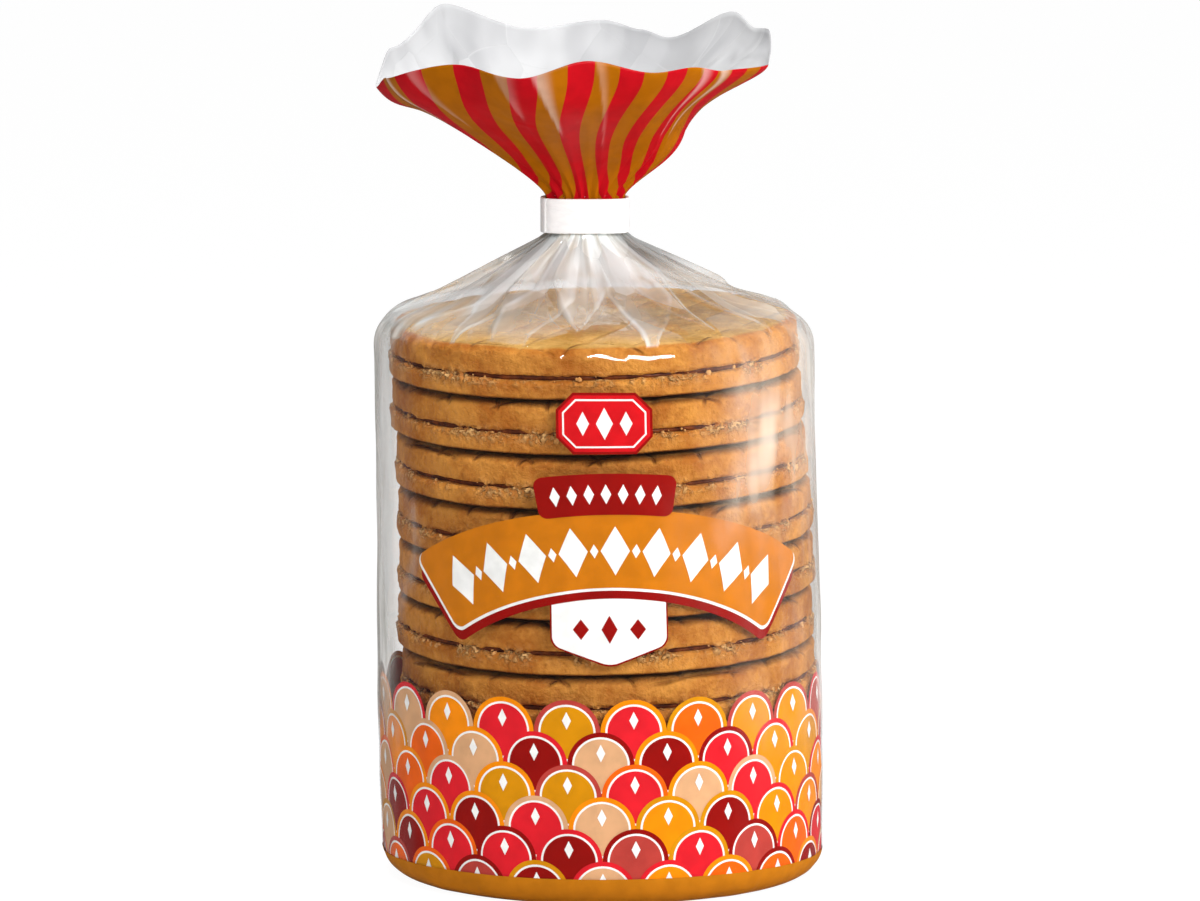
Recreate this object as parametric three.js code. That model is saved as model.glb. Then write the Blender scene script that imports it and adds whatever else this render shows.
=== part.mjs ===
// A sealed clear-film bag of round syrup cookies: an upright round pack with a tented shoulder,
// gathered at the neck by a white tape band, with the film above it flared into a striped frill.
// Millimetres, +Z up, front towards -Y. The origin is at the middle of the base.

import * as THREE from "three";

// The stack inside sets the bag's size
const COOKIE_DIAMETER = 88;
const COOKIE_PITCH = 11.7;
const COOKIE_COUNT = 10;
const STACK_LIFT = 3;
const FILM_SLACK = 3.1;

// The bag's body and its tented shoulder
const BODY_RADIUS = COOKIE_DIAMETER / 2 + FILM_SLACK;
const STACK_TOP = STACK_LIFT + COOKIE_PITCH * COOKIE_COUNT;
const BASE_CORNER = 6;
const SHOULDER_START = STACK_TOP - 6;
const SHOULDER_EDGE_RADIUS = BODY_RADIUS - 7;
const SHOULDER_EDGE_HEIGHT = STACK_TOP + 2.4;
const SHOULDER_EDGE_PULL = 2;
const SHOULDER_SAG_RADIUS = 16;
const SHOULDER_SAG_DROP = 5;

// The neck and the tape band round it
const BAND_WIDTH = 18.8;
const BAND_DEPTH = 10;
const BAND_HEIGHT = 7.4;
const BAND_WALL = 0.7;
const BAND_CORNER = 3.4;
const BAND_BOTTOM = STACK_TOP + 18.4;
const BAND_TOP = BAND_BOTTOM + BAND_HEIGHT;
const GAP = 0.3;
const NECK_RADIUS = BAND_WIDTH / 2 - BAND_WALL - GAP;
const NECK_FLATNESS = (BAND_DEPTH / 2 - BAND_WALL - GAP) / NECK_RADIUS;

// The frill above the band
const FRILL_HEIGHT = 32.5;
const FRILL_RADIUS = 41;
const FRILL_WALL = 1.1;
const THROAT_RISE = 5;
const THROAT_SPREAD = 1.1;
const THROAT_PULL = 4;
const RIM_HEIGHT = BAND_TOP + FRILL_HEIGHT;
const RIM_PULL = 12;
const RIM_CURL = 2;

// The pack leans a little to its left, its neck and frill more, and the frill droops on that side
const BODY_LEAN = 2.1;
const NECK_SHIFT = -1.4;
const FRILL_SHIFT = -2.5;
const FRILL_DROOP = 2.6;

// Folds in the film: how deep they are, and the waves that make them, with phases in degrees
const SHOULDER_FOLD = 1.5;
const SHOULDER_WAVES = [
  { ridges: 9, share: 0.55, phase: 20 },
  { ridges: 14, share: 0.45, phase: 130 },
];
const FLUTE_DEPTH = 1.7;
const FLUTE_WAVES = [
  { ridges: 8, share: 0.7, phase: 100 },
  { ridges: 5, share: 0.5, phase: 40 },
];
const RIM_RISE = 2.6;
const RIM_WAVES = [
  { ridges: 3, share: 0.85, phase: -30 },
  { ridges: 8, share: 0.4, phase: -80 },
];

// Where the shoulder starts to flatten towards the neck, and where the frill turns round again,
// as shares of the way up each
const NECK_FLATTENS_FROM = 0.3;
const FRILL_ROUNDS_FROM = 0.05;
const FRILL_ROUND_BY = 0.75;

// Facets
const TURN_STEPS = 72;
const CURVE_STEPS = 6;

const FILM = { color: 0xc9a36a, roughness: 0.2, metalness: 0 };
const TAPE = { color: 0xfafafa, roughness: 0.45, metalness: 0 };

const { degToRad, smoothstep, clamp } = THREE.MathUtils;

// Height of a set of waves at an angle round the pack
function foldAt(waves, angle) {
  return waves.reduce((sum, { ridges, share, phase }) => {
    return sum + share * Math.cos(ridges * angle + degToRad(phase));
  }, 0);
}

// Half of the bag's upright section, from the middle of the base round the outside to the frill's throat
function bagProfile() {
  const outline = new THREE.Path();
  outline.moveTo(0, 0);
  outline.lineTo(BODY_RADIUS - BASE_CORNER, 0);
  outline.absarc(BODY_RADIUS - BASE_CORNER, BASE_CORNER, BASE_CORNER, -Math.PI / 2, 0, false);
  outline.lineTo(BODY_RADIUS, SHOULDER_START);
  outline.quadraticCurveTo(
    BODY_RADIUS,
    SHOULDER_EDGE_HEIGHT - SHOULDER_EDGE_PULL,
    SHOULDER_EDGE_RADIUS,
    SHOULDER_EDGE_HEIGHT,
  );
  outline.quadraticCurveTo(
    SHOULDER_SAG_RADIUS,
    BAND_BOTTOM - SHOULDER_SAG_DROP,
    NECK_RADIUS,
    BAND_BOTTOM - GAP,
  );
  outline.lineTo(NECK_RADIUS, BAND_TOP + GAP);
  const flareOut = frillCurve(0, BAND_TOP + GAP);
  const flareIn = frillCurve(FRILL_WALL, BAND_TOP + THROAT_RISE);
  const rows = outline.getPoints(CURVE_STEPS);
  const outer = flareOut.getPoints(CURVE_STEPS * 2).slice(1);
  const inner = flareIn.getPoints(CURVE_STEPS * 2).reverse();
  return [...rows, ...outer, ...inner, new THREE.Vector2(0, BAND_TOP + THROAT_RISE)];
}

// One face of the frill's wall, set in by a part of the wall's thickness, from a start height up to the rim
function frillCurve(inset, start) {
  const slope = FRILL_RADIUS - NECK_RADIUS;
  const share = (start - BAND_TOP) / FRILL_HEIGHT;
  const from = new THREE.Vector2(NECK_RADIUS + slope * share * THROAT_SPREAD - inset, start);
  const lower = new THREE.Vector2(from.x + THROAT_PULL, start + THROAT_PULL);
  const upper = new THREE.Vector2(FRILL_RADIUS - RIM_CURL - inset, RIM_HEIGHT - RIM_PULL);
  const rim = new THREE.Vector2(FRILL_RADIUS - inset, RIM_HEIGHT);
  return new THREE.CubicBezierCurve(from, lower, upper, rim);
}

// Sideways place of the pack's middle at a height
function leanAt(height) {
  return BODY_LEAN * (0.5 - height / STACK_TOP);
}

// Moves a point of the round bag to where the folds, the flat neck and the lean put it
function gather(point) {
  const radius = Math.hypot(point.x, point.y);
  const angle = Math.atan2(point.x, -point.y);
  const height = point.z;

  const tent = smoothstep(height, SHOULDER_START, BAND_BOTTOM);
  const flare = clamp((height - BAND_TOP) / FRILL_HEIGHT, 0, 1);
  const openness = smoothstep(flare, FRILL_ROUNDS_FROM, FRILL_ROUND_BY);
  const outward = smoothstep(radius, 0, NECK_RADIUS);

  const shoulderFold = Math.sin(Math.PI * tent) * SHOULDER_FOLD * foldAt(SHOULDER_WAVES, angle);
  const flute = flare * FLUTE_DEPTH * foldAt(FLUTE_WAVES, angle) * outward;
  const rise = flare * flare * RIM_RISE * foldAt(RIM_WAVES, angle) * outward;
  const flatness = 1 - (1 - NECK_FLATNESS) * smoothstep(tent, NECK_FLATTENS_FROM, 1) * (1 - openness);

  const x = (radius + flute) * Math.sin(angle);
  const y = -(radius + flute) * Math.cos(angle) * flatness;
  const droop = (flare * FRILL_DROOP * x) / FRILL_RADIUS;
  return new THREE.Vector3(
    x + leanAt(height) + NECK_SHIFT * tent + FRILL_SHIFT * flare,
    y,
    height + shoulderFold + rise + droop,
  );
}

// The sealed bag: body, shoulder, neck and open frill in one piece
function makeBag() {
  const geometry = new THREE.LatheGeometry(bagProfile(), TURN_STEPS);
  geometry.rotateX(Math.PI / 2);
  const place = geometry.getAttribute("position");
  const point = new THREE.Vector3();
  for (let i = 0; i < place.count; i++) {
    const moved = gather(point.fromBufferAttribute(place, i));
    place.setXYZ(i, moved.x, moved.y, moved.z);
  }
  const bag = new THREE.Mesh(geometry, new THREE.MeshStandardMaterial(FILM));
  bag.name = "bag";
  return bag;
}

// A rectangle with round corners about the origin
function roundedRectangle(path, width, depth, corner) {
  const x = width / 2 - corner;
  const y = depth / 2 - corner;
  path.absarc(x, y, corner, 0, Math.PI / 2, false);
  path.absarc(-x, y, corner, Math.PI / 2, Math.PI, false);
  path.absarc(-x, -y, corner, Math.PI, Math.PI * 1.5, false);
  path.absarc(x, -y, corner, Math.PI * 1.5, Math.PI * 2, false);
  path.closePath();
  return path;
}

// The white tape, a flattened ring round the gathered neck
function makeBand() {
  const ring = roundedRectangle(new THREE.Shape(), BAND_WIDTH, BAND_DEPTH, BAND_CORNER);
  const inside = [BAND_WIDTH - 2 * BAND_WALL, BAND_DEPTH - 2 * BAND_WALL, BAND_CORNER - BAND_WALL];
  ring.holes.push(roundedRectangle(new THREE.Path(), ...inside));
  const geometry = new THREE.ExtrudeGeometry(ring, {
    depth: BAND_HEIGHT,
    bevelEnabled: false,
    curveSegments: CURVE_STEPS,
  });
  const band = new THREE.Mesh(geometry, new THREE.MeshStandardMaterial(TAPE));
  band.position.set(leanAt(BAND_BOTTOM + BAND_HEIGHT / 2) + NECK_SHIFT, 0, BAND_BOTTOM);
  band.name = "band";
  return band;
}

const pack = new THREE.Group();
pack.add(makeBag(), makeBand());

export default pack;
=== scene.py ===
"""A sealed clear-film bag of syrup cookies: a stack of round cookies in printed film, tied at the neck with
white tape under a striped frill. Lengths are in millimetres until a piece is finished, and in metres in the
materials and the studio. Angles round the pack are 0 at its front and grow to its right."""

import math
import random
from typing import NamedTuple

import bmesh
import bpy
from mathutils import Euler, Matrix, Quaternion, Vector, noise


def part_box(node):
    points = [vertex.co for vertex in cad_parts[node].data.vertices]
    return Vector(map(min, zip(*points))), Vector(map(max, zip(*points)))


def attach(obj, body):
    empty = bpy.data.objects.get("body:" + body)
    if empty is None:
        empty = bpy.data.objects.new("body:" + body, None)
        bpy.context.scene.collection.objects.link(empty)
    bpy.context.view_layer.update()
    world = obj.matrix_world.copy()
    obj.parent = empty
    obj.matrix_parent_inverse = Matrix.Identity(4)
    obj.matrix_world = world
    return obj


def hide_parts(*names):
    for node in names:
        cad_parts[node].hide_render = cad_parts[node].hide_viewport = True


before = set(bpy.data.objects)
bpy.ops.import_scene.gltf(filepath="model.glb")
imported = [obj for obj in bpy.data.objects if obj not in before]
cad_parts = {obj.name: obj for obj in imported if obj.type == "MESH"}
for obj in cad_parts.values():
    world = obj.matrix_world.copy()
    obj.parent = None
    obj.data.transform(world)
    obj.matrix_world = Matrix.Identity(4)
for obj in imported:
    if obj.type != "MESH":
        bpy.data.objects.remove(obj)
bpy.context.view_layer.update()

MM = 0.001
TURN = 2 * math.pi

# What is nearer than this to the middle line or the ground lies on it
TINY = 0.01

# What the frame gives: the bag's body, and the tape band round its neck
bag_low, bag_high = (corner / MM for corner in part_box("bag"))
band_low, band_high = (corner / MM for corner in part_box("band"))
BODY_RADIUS = (bag_high.y - bag_low.y) / 2
BAND_BOTTOM = band_low.z
BAND_TOP = band_high.z
BAND_MIDDLE = (BAND_BOTTOM + BAND_TOP) / 2
BAND_HALF_WIDTH = (band_high.x - band_low.x) / 2
BAND_HALF_DEPTH = (band_high.y - band_low.y) / 2
BAND_CENTRE = (band_high.x + band_low.x) / 2

# The tape, with its loose end lapped over it, and the gap between it and the film
BAND_WALL = 0.7
BAND_SQUARENESS = 3.4
BAND_EDGE_ROUND = 0.18
BAND_SHARP_TURN = math.radians(60)
LAP_THICK = 0.28
LAP_START = math.radians(-150)
LAP_END = math.radians(-60)
GAP = 0.3

# The stack of cookies
COOKIE_RADIUS = 44
COOKIE_PITCH = 11.7
COOKIE_COUNT = 10
STACK_LIFT = 3
STACK_TOP = STACK_LIFT + COOKIE_PITCH * COOKIE_COUNT
STACK_SEED = 100
COOKIE_TILT = math.radians(1.2)
COOKIE_TILT_PLAY = math.radians(0.15)
COOKIE_SIDE_PLAY = 0.4

# At the stack's foot and at its top: how far it leans forward, how far that lifts its middle, how far it
# lies to the right, and how wide its cookies are
FORWARD_TILTS = (math.radians(2.2), math.radians(1.9))
FORWARD_LIFTS = (1.5, 0.9)
STACK_ASIDES = (1.2, 0.2)
STACK_SPREADS = (1.013, 1.0)

# Half way up, the stack lies further to the right and is a little wider
STACK_BULGE = 0.9
STACK_SWELL = 0.011

# One cookie: a base and a lid of biscuit, with syrup between them
BASE_THICK = 4.0
BASE_FOOT_ROUND = 0.8
BASE_BROW_ROUND = 1.2
LID_RADIUS = COOKIE_RADIUS - 0.4
LID_BOTTOM = 5.0
LID_FOOT_ROUND = 0.9
LID_SHOULDER_REACH = 2.6
LID_SHOULDER_DROP = 1.9
LID_SHOULDER_PULL = 0.4
LID_DOME_PULL = 0.6
COOKIE_EDGE_THICK = 10.9
COOKIE_THICK = 11.6
SEAM_ROUND_END = 84
SYRUP_RADIUS = COOKIE_RADIUS - 1.5
SYRUP_SINK = 0.35
SYRUP_LIP_IN = 1.2
SYRUP_LIP_OUT = 0.6

# Lumps of the syrup's lip and of the biscuit's rim: size and depth
OOZE_WIDTH = 2
OOZE_LUMPS = ((5, 0.5), (1.4, 0.25))
RIM_LUMPS = ((4.5, 0.28), (1.5, 0.12))
RIM_WAVER = 0.5
RIM_WAVER_SIZE = 0.7
RIM_START = 6
RIM_FULL = 1.5
SURFACE_LUMP = 0.15
SURFACE_LUMP_SIZE = 7

# The lid's scored lines, and how the skin changes over it
SCORE_PITCH = 10.8
SCORE_WIDTH = 0.9
SCORE_DEPTH = 0.35
SCORE_WAYS = (math.radians(38), math.radians(-44))
SCORE_WOBBLE = 1.1
SCORE_WOBBLE_SIZE = 15
SCORE_SHIFT = 0.37
SCORE_FADE = 0.75
SCORE_FADE_LIMITS = (COOKIE_RADIUS - 5, COOKIE_RADIUS - 10)
ON_LID_LIMITS = (COOKIE_EDGE_THICK - 2.4, COOKIE_EDGE_THICK - 0.4)
CROWN_LIMITS = (LID_RADIUS - 1.2, LID_RADIUS - LID_SHOULDER_REACH)
# Painted shade in the gaps between cookies: the heights over which it grows towards a covered lid's top edge
# and towards each base's foot
TOP_GAP_SHADE_LIMITS = (COOKIE_EDGE_THICK - 1.3, COOKIE_EDGE_THICK)
FOOT_GAP_SHADE_LIMITS = (0.6, 0.1)

# The torn seam: how far it spreads below and above, its coarse and fine lumps, and its torn patches
SEAM_MIDDLE = (BASE_THICK + LID_BOTTOM) / 2
SEAM_SPREAD_DOWN = 1.7
SEAM_SPREAD_UP = 1.1
TEAR_SIZE = 1.3
FINE_TEAR_SIZE = 0.6
FINE_TEAR_SHARE = 0.7
TORN_PATCH_SIZE = 7
TORN_PATCH_LIMITS = (-0.2, 0.3)
TORN_LEAST = 0.1
TORN_BY_PATCH = 1.4
TORN_BY_TEAR = 0.7
LID_TORN_SHARE = 0.35
RAGGED_LEAST = 0.3
RAGGED_BY_PATCH = 0.6
CLOSING_LEAST = 0.7
CLOSING_BY_TEAR = 0.6

# Seeds of a cookie: the step from one to the next, and what each kind of roughness adds to it
COOKIE_SEED_STEP = 7.3
TEAR_SEED = 20
FINE_TEAR_SEED = 30
TORN_PATCH_SEED = 50
SURFACE_SEED = 70

# Loose crumbs along the seams
CRUMBS_PER_COOKIE = 220
CRUMB_SEED = 5
CRUMB_DEPTHS = (0.3, 1.2)
CRUMB_FALL = -0.7
CRUMB_SCATTER = 0.5
CRUMB_CLUSTER_SIZE = 6
CRUMB_CLUSTER_SEED = 9
CRUMB_CLUSTER_LIMITS = (-0.3, 0.4)
CRUMB_LEAST_SIZE = 0.18
CRUMB_MORE_SIZE = 0.6
CRUMB_FLATNESS = (0.5, 1)
CRUMB_KNOBS = (0.7, 1.25)

# The film's shoulder, neck and frill
BASE_CORNER = 6
FILM_START = -40
SHOULDER_START = STACK_TOP - 6
SHOULDER_EDGE_RADIUS = BODY_RADIUS - 7
SHOULDER_EDGE_HEIGHT = STACK_TOP + 2.4
SHOULDER_EDGE_PULL = 2
SHOULDER_SAG_RADIUS = 16
SHOULDER_SAG_DROP = 5
NECK_RADIUS = BAND_HALF_WIDTH - BAND_WALL - GAP
NECK_FLATNESS = (BAND_HALF_DEPTH - BAND_WALL - GAP) / NECK_RADIUS
NECK_FLATTENS = (0.3, 1)
FRILL_HEIGHT = 32.5
FRILL_RADIUS = 41
FRILL_ROUNDS = (0.05, 0.75)
RIM_HEIGHT = BAND_TOP + FRILL_HEIGHT
RIM_PULL = 12
RIM_CURL = 2
THROAT_PULL_OUT = 1.8
THROAT_PULL_UP = 5.2
FRILL_FILM = 0.14

# How the pack leans to its left
BODY_LEAN = 2.1
NECK_SHIFT = -1.4
FRILL_SHIFT = -2.5

# The frill is hollow on its right, with a corner of film that stands out at the rim there
FRILL_HOLLOW = 0.19
FRILL_HOLLOW_FROM = 0.2
FRILL_HOLLOW_POWER = 1.5
FRILL_CORNER = 3.6
FRILL_CORNER_ANGLE = math.radians(99)
FRILL_CORNER_SPREAD = math.radians(13)

# The frill's left tip hangs down in a lip, its foot stands out more on the right, and its sides fold in
LIP_DROP = 2.4
LIP_ANGLE = math.radians(-88)
LIP_SPREAD = math.radians(24)
LIP_FLARE = 0.82
LIP_REACH = 0.17
THROAT_BULGE = 1.4
THROAT_BULGE_PACE = 2.2
SIDE_FOLD_DEPTH = 0.16
SIDE_FOLD_HALF_WIDTH = math.radians(11)

# The frill's flutes, as (ridges round the pack, share, phase in degrees), and its gathers at the neck
FLUTE_DEPTH = 1.4
FLUTE_WAVES = ((8, 0.7, 100), (5, 0.5, 40))
FOLD_POWER = 1.5
GATHERS = 26
GATHER_DEPTH = 0.55
GATHER_WANDER = 0.6
GATHER_WANDERS = 3

# Creases up the frill, with pale streaks beside them: painted highlights of the folds, partly film whitened
# by folding
CREASE_COUNT = 17
CREASE_SEED = 3
CREASE_PLAY = 0.35
CREASE_WIDTHS = (0.07, 0.14)
CREASE_HEIGHTS = (0.25, 0.7)
CREASE_TIPS = (0.25, 0.6)
CREASE_SLANT = -0.12
CREASE_SWELL_START = 0.1
CREASE_SWELL_PACE = 0.75
GLEAM_TIP_WIDTH = 0.2
GLEAM_NEAR_LIMITS = (-0.12, 0.1)
GLEAM_FAR_LIMITS = (0, 0.8)
GLEAM_TIP_LIMITS = (0, 0.15)

# The frill's stripes, counted in pairs of red and ochre
NECK_PAIRS = 2.1
RIM_PAIRS = 5.4
PAIRS_SPREAD_BY = 0.45
STRIPE_START = 20.36
STRIPE_DRIFT = 0.32
STRIPE_BOW = 0.25
STRIPE_BOW_PACE = 1.1
STRIPE_WIDENING = 0.28
STRIPE_RIGHT_WIDER = 0.55
STRIPE_RIGHT_LIMITS = (0.45, 1)
STRIPE_HOLLOW = 0.33
STRIPE_HOLLOW_LIMITS = (0.2, 1)

# The frill's rim, as crests and troughs round the pack: degrees from the front to the right, and rise. The
# rise fades by a power below the rim
RIM_GRIP = 3.5
RIM_CRESTS = (
    (-96, -8.6), (-72, -5.2), (-36, -1.0), (-15, -3.0), (5, 0.6), (26, -2.2),
    (38, -1.5), (53, -3.0), (84, -3.4), (100, 2.8), (110, 2.4), (124, 5.0),
    (149, -1.6), (158, -0.2), (170, 1.6), (193, 0), (222, 6.0), (250, -1.5),
)

# The film crushed together inside the neck
THROAT_TOP = (0, BAND_TOP + 3.2)
THROAT_SHOULDER = (5, BAND_TOP + 3)
THROAT_FOOT = (8.6, BAND_TOP + 0.4)
THROAT_FIT = 0.95
CRUSH_DEPTH = 0.7
CRUSH_FOLDS = 9
CRUSH_WANDER = 1.5
CRUSH_LIMITS = (0.5, 4)

# Darts of folded film round the shoulder: degrees from the front to the right, how far in each one starts
# as a share of the way to the neck, and half of its width there
PLEAT_PLACES = (
    (-88, 0.1, 2.0), (-64, 0.02, 5.0), (-41, 0.03, 0.4), (-24, 0.05, 4.5), (-4, 0.14, 0.4), (16, 0.04, 1.2),
    (38, 0.14, 0.2), (57, 0.05, 0.3), (82, 0.08, 2.5), (109, 0.05, 1.0), (138, 0.3, 3.0), (163, 0.08, 1.0),
    (189, 0.05, 4.0), (214, 0.14, 1.0), (244, 0.05, 3.0),
)
PLEAT_SEED = 11
PLEAT_SLOPES = (0.22, 0.5)
PLEAT_SKEWS = (-0.4, 0.4)
PLEAT_LIFTS = (0.6, 1.9)
PLEAT_CREASE = 0.7
PLEAT_START = 0.93
PLEAT_END = 0.95
PLEAT_WIDEST = 0.3
PLEAT_WIDEST_TURN = math.radians(60)
PLEAT_LINE = 0.9
PLEAT_START_LINE = 0.6
PLEAT_HEM_LINE = 0.5
PLEAT_MILK = 0.5
PLEAT_MILK_RISE = 0.4
PLEAT_OUT = 0.35
PLEAT_UP = 0.9

# How far the film settles between its darts, less where it is pulled taut on the left
PLEAT_SETTLE = 1.7
SETTLE_LIMITS = (0.12, 0.4)
ARCH_POWER = 0.7
TAUT_LEFT = 0.5
TAUT_LIMITS = (0.5, 0.95)

# The body's loose film, with coarse and fine waves, and fuller near its foot
SLACK_DEPTH = 0.55
SLACK_STRETCH = 95
SLACK_SIZE = 0.42
SLACK_SEED = 3
FINE_SLACK_SIZE = 0.14
FINE_SLACK_SHARE = 0.55
FINE_SLACK_SEED = 8
FOOT_BULGE = 0.8
FOOT_BULGE_HEIGHT = 42
FOOT_BULGE_REACH = 38

# Small upright gathers over the stack's edge
PUCKER_DEPTH = 0.45
PUCKER_HEIGHT = SHOULDER_START + 4.5
PUCKER_REACH = 6
PUCKER_STRETCH = 300
PUCKER_SIZE = 0.15
PUCKER_SEED = 5
BROW_RISE = 0.9
BROW_SIZE = 0.3
BROW_SEED = 12

# The sealed fin down the back
SEAM_HALF_WIDTH = 3.6
SEAM_LIFT = 0.5
SEAM_HAZE = 0.3
SEAM_EDGE_MILK = 0.5

# Soft pale veils down the body, partly the film's milk and partly painted reflections of the side lights:
# degrees from the front to the right, spread in degrees, strength, and the share of it that is left over the
# banner and below
REFLECTION_VEILS = ((-63, 2.2, 0.2, 1.0), (-77, 9, 0.34, 0.9), (42, 11, 0.34, 0.14), (62, 12, 0.5, 0.14))
VEIL_WANDER = 14
VEIL_WANDER_SIZE = 30
VEIL_LIMITS = (72, 90)
VEIL_PATCH_TURN = 14
VEIL_PATCH_HEIGHT = 16
VEIL_PATCH_MEAN = 0.8
VEIL_PATCH_CHANGE = 1.3
VEIL_WARMED = 0.25
VEIL_WARM_LIMITS = (0, 0.3)

# How milky the film is in its parts, with the limits between which each part begins or ends: turns in
# degrees or as sines, and places as shares of the way in to the neck
LOOSE_HAZE = 0.2
LOOSE_LIMITS = (0.86, 1.0)
BODY_END = (0, 0.1)
CORNER_HAZE_LEFT = 0.3
CORNER_HAZE_RIGHT = 0.1
CORNER_ASIDE = (0.7, 0.95)
CORNER_START = (0, 0.06)
CORNER_END = (0.2, 0.4)
FRONT_HAZE = 0.22
FRONT_SPREAD = 15
FRONT_START = (0.1, 0.5)
DRAPE_HAZE = 0.26
DRAPE_SHADE = 0.45
DRAPE_TURN_START = (-105, -70)
DRAPE_TURN_END = (-48, -22)
DRAPE_START = (0.02, 0.07)
TENT_HAZE = 0.03
TENT_START = (0.05, 0.4)
NECK_HAZE = 0.62
NECK_START = (0.45, 0.85)
FOLD_HAZE = 0.21
FOLD_MOST_MILK = 1.3
FOLD_CREASE_HAZE = 0.32
CLEAR_RIGHT = 0.65
CLEAR_RIGHT_LIMITS = (0.35, 0.7)
PRINT_HAZE_SHARE = 0.15

# The film's other marks: its milk where it is seen edge on, where its pleats begin, the dark sides of its
# neck, and the length that its flow counts as 1
EDGE_MILK_LEAST = 0.05
EDGE_MILK_MORE = 0.85
PLEATED_LIMITS = (0.03, 0.13)
CONE_START = (0.5, 0.85)
CONE_ASIDE = (0.45, 0.85)
FLOW_LENGTH = 100

# Steps of the meshes
WEDGES = 12
FILM_STEPS = 660
FILM_RINGS = 30
BROW_RINGS = 18
TENT_RINGS = 60
FRILL_STEPS = 480
FRILL_RINGS = 46
THROAT_STEPS = 160
COOKIE_STEPS = 600
HIDDEN_RINGS = 4
FACE_RINGS = 34
SYRUP_STEPS = 240
BASE_STEPS = 360
BASE_RINGS = 14
BAND_STEPS = 180
SEAM_ACROSS = 8
SEAM_RINGS = 40
SLICE_ACROSS = 1.6
SLICE_UP = 3.0

# The print on the film, as distances round from the front and heights, in layers a hair apart
PRINT_LIFT = -0.4
LAYER_LIFT = 0.045
PRINT_TOP = 39
PRINT_FADE = (PRINT_TOP - 12, PRINT_TOP)
EMBLEM_ACROSS = 3.2
BASE_STRIP_TOP = 4.8
BASE_STRIP_END = -9
STRIP_FRONT_RISE = 1.2

# The banner, between two arcs about a point below it
BANNER_CENTRE_UP = 4.7
BANNER_INNER = 63.8
BANNER_OUTER = 80.3
BANNER_MIDDLE = (BANNER_INNER + BANNER_OUTER) / 2
BANNER_HALF_SPREAD = math.radians(34.7)
BANNER_WIDTH = 2 * BANNER_HALF_SPREAD * BANNER_MIDDLE
BANNER_ASIDE = 0.6
BANNER_TAPER = 0.025
BANNER_FLARE = 2.3
BANNER_LOZENGES = 9
BANNER_MARGIN = 16
BANNER_ROW_UP = BANNER_MIDDLE - 0.4
BANNER_LOZENGE = (3.1, 5.2)
BANNER_STUD = (0.9, 1.5)

# The banner's layers from the back: name, ink, how much wider, lower and higher each is, and its corners
BANNER_LEVEL = 2
BANNER_LAYERS = (
    ("shadow", "oxblood", 3.4, 2.3, -2.4, 2.2),
    ("edge", "white", 1.2, 0.6, 0.0, 2.2),
    ("field", "banner", 0.0, 0.0, 0.05, 2.0),
)

# The plate above the banner
PLATE_LEVEL = 6
PLATE_ASIDE = -1.0
PLATE_WIDTH = 25.6
PLATE_LOW = BANNER_OUTER - 1.0
PLATE_HIGH = BANNER_OUTER + 7.7
PLATE_CORNER = 1.8
PLATE_LOZENGES = 7
PLATE_PITCH = 3.1
PLATE_LOZENGE = (0.95, 2.1)

# The shield below the banner
SHIELD_ACROSS = EMBLEM_ACROSS - 0.9
SHIELD_HALF_WIDTH = 12.1
SHIELD_TOP = 67.5
SHIELD_HIP = 56.2
SHIELD_TIP = 51.8
SHIELD_TIP_GROWTH = 1.2
SHIELD_CORNER = 1.8
SHIELD_EDGE = 0.35
SHIELD_ROW_UP = 59.6
SHIELD_PITCH = 6
SHIELD_LOZENGE_WIDTH = 1.7
SHIELD_LOZENGE_HEIGHTS = (2.2, 3.0, 2.2)

# The plaque: its layers as margins and inks, and its lozenges
PLAQUE_ACROSS = EMBLEM_ACROSS - 1.2
PLAQUE_UP = 103.2
PLAQUE_WIDTH = 20.6
PLAQUE_HEIGHT = 13
PLAQUE_CORNER = 3.6
PLAQUE_CORNER_SHRINK = 0.6
PLAQUE_LAYERS = ((0.0, "oxblood"), (0.55, "red"), (1.35, "white"), (1.75, "red"))
PLAQUE_PITCH = 4.6
PLAQUE_LOZENGE = (1.8, 3.4)
PLAQUE_LOZENGE_SIZES = (0.75, 1, 0.75)

# The scales round the foot
SCALE_COLUMNS = 21
SCALE_PITCH = TURN * BODY_RADIUS / SCALE_COLUMNS
SCALE_ROWS = 6
SCALE_ROW_PITCH = 6.9
SCALE_ROW_SINK = 1.25
SCALE_SEED = 4
SCALE_SIDES = 44
SCALE_BORDER = 1.0
SCALE_LINE = 0.45
SCALE_FIELD_RINGS = (1.2, 1.2, 1.2)
SCALE_LOZENGE = (0.95, 1.9)
SCALE_LOZENGE_UP = 2.6


def shade(red, green, blue):
    """A colour given as it looks on a screen, from 0 to 255, as the light that a shader works with"""
    parts = [part / 255 for part in (red, green, blue)]
    return tuple(((part + 0.055) / 1.055) ** 2.4 if part > 0.04 else part / 12.92 for part in parts) + (1,)


# Inks of the print
INKS = {
    "mustard": shade(218, 146, 8),
    "crimson": shade(226, 34, 46),
    "amber": shade(250, 146, 6),
    "oxblood": shade(150, 14, 8),
    "beige": shade(224, 173, 128),
    "vermilion": shade(246, 104, 14),
    "brick": shade(190, 68, 60),
    "white": shade(250, 250, 248),
    "banner": shade(207, 122, 18),
    "red": shade(214, 22, 30),
    "ochre": shade(190, 116, 22),
}
SCALE_INKS = ("mustard", "crimson", "amber", "oxblood", "beige", "vermilion", "brick")

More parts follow.
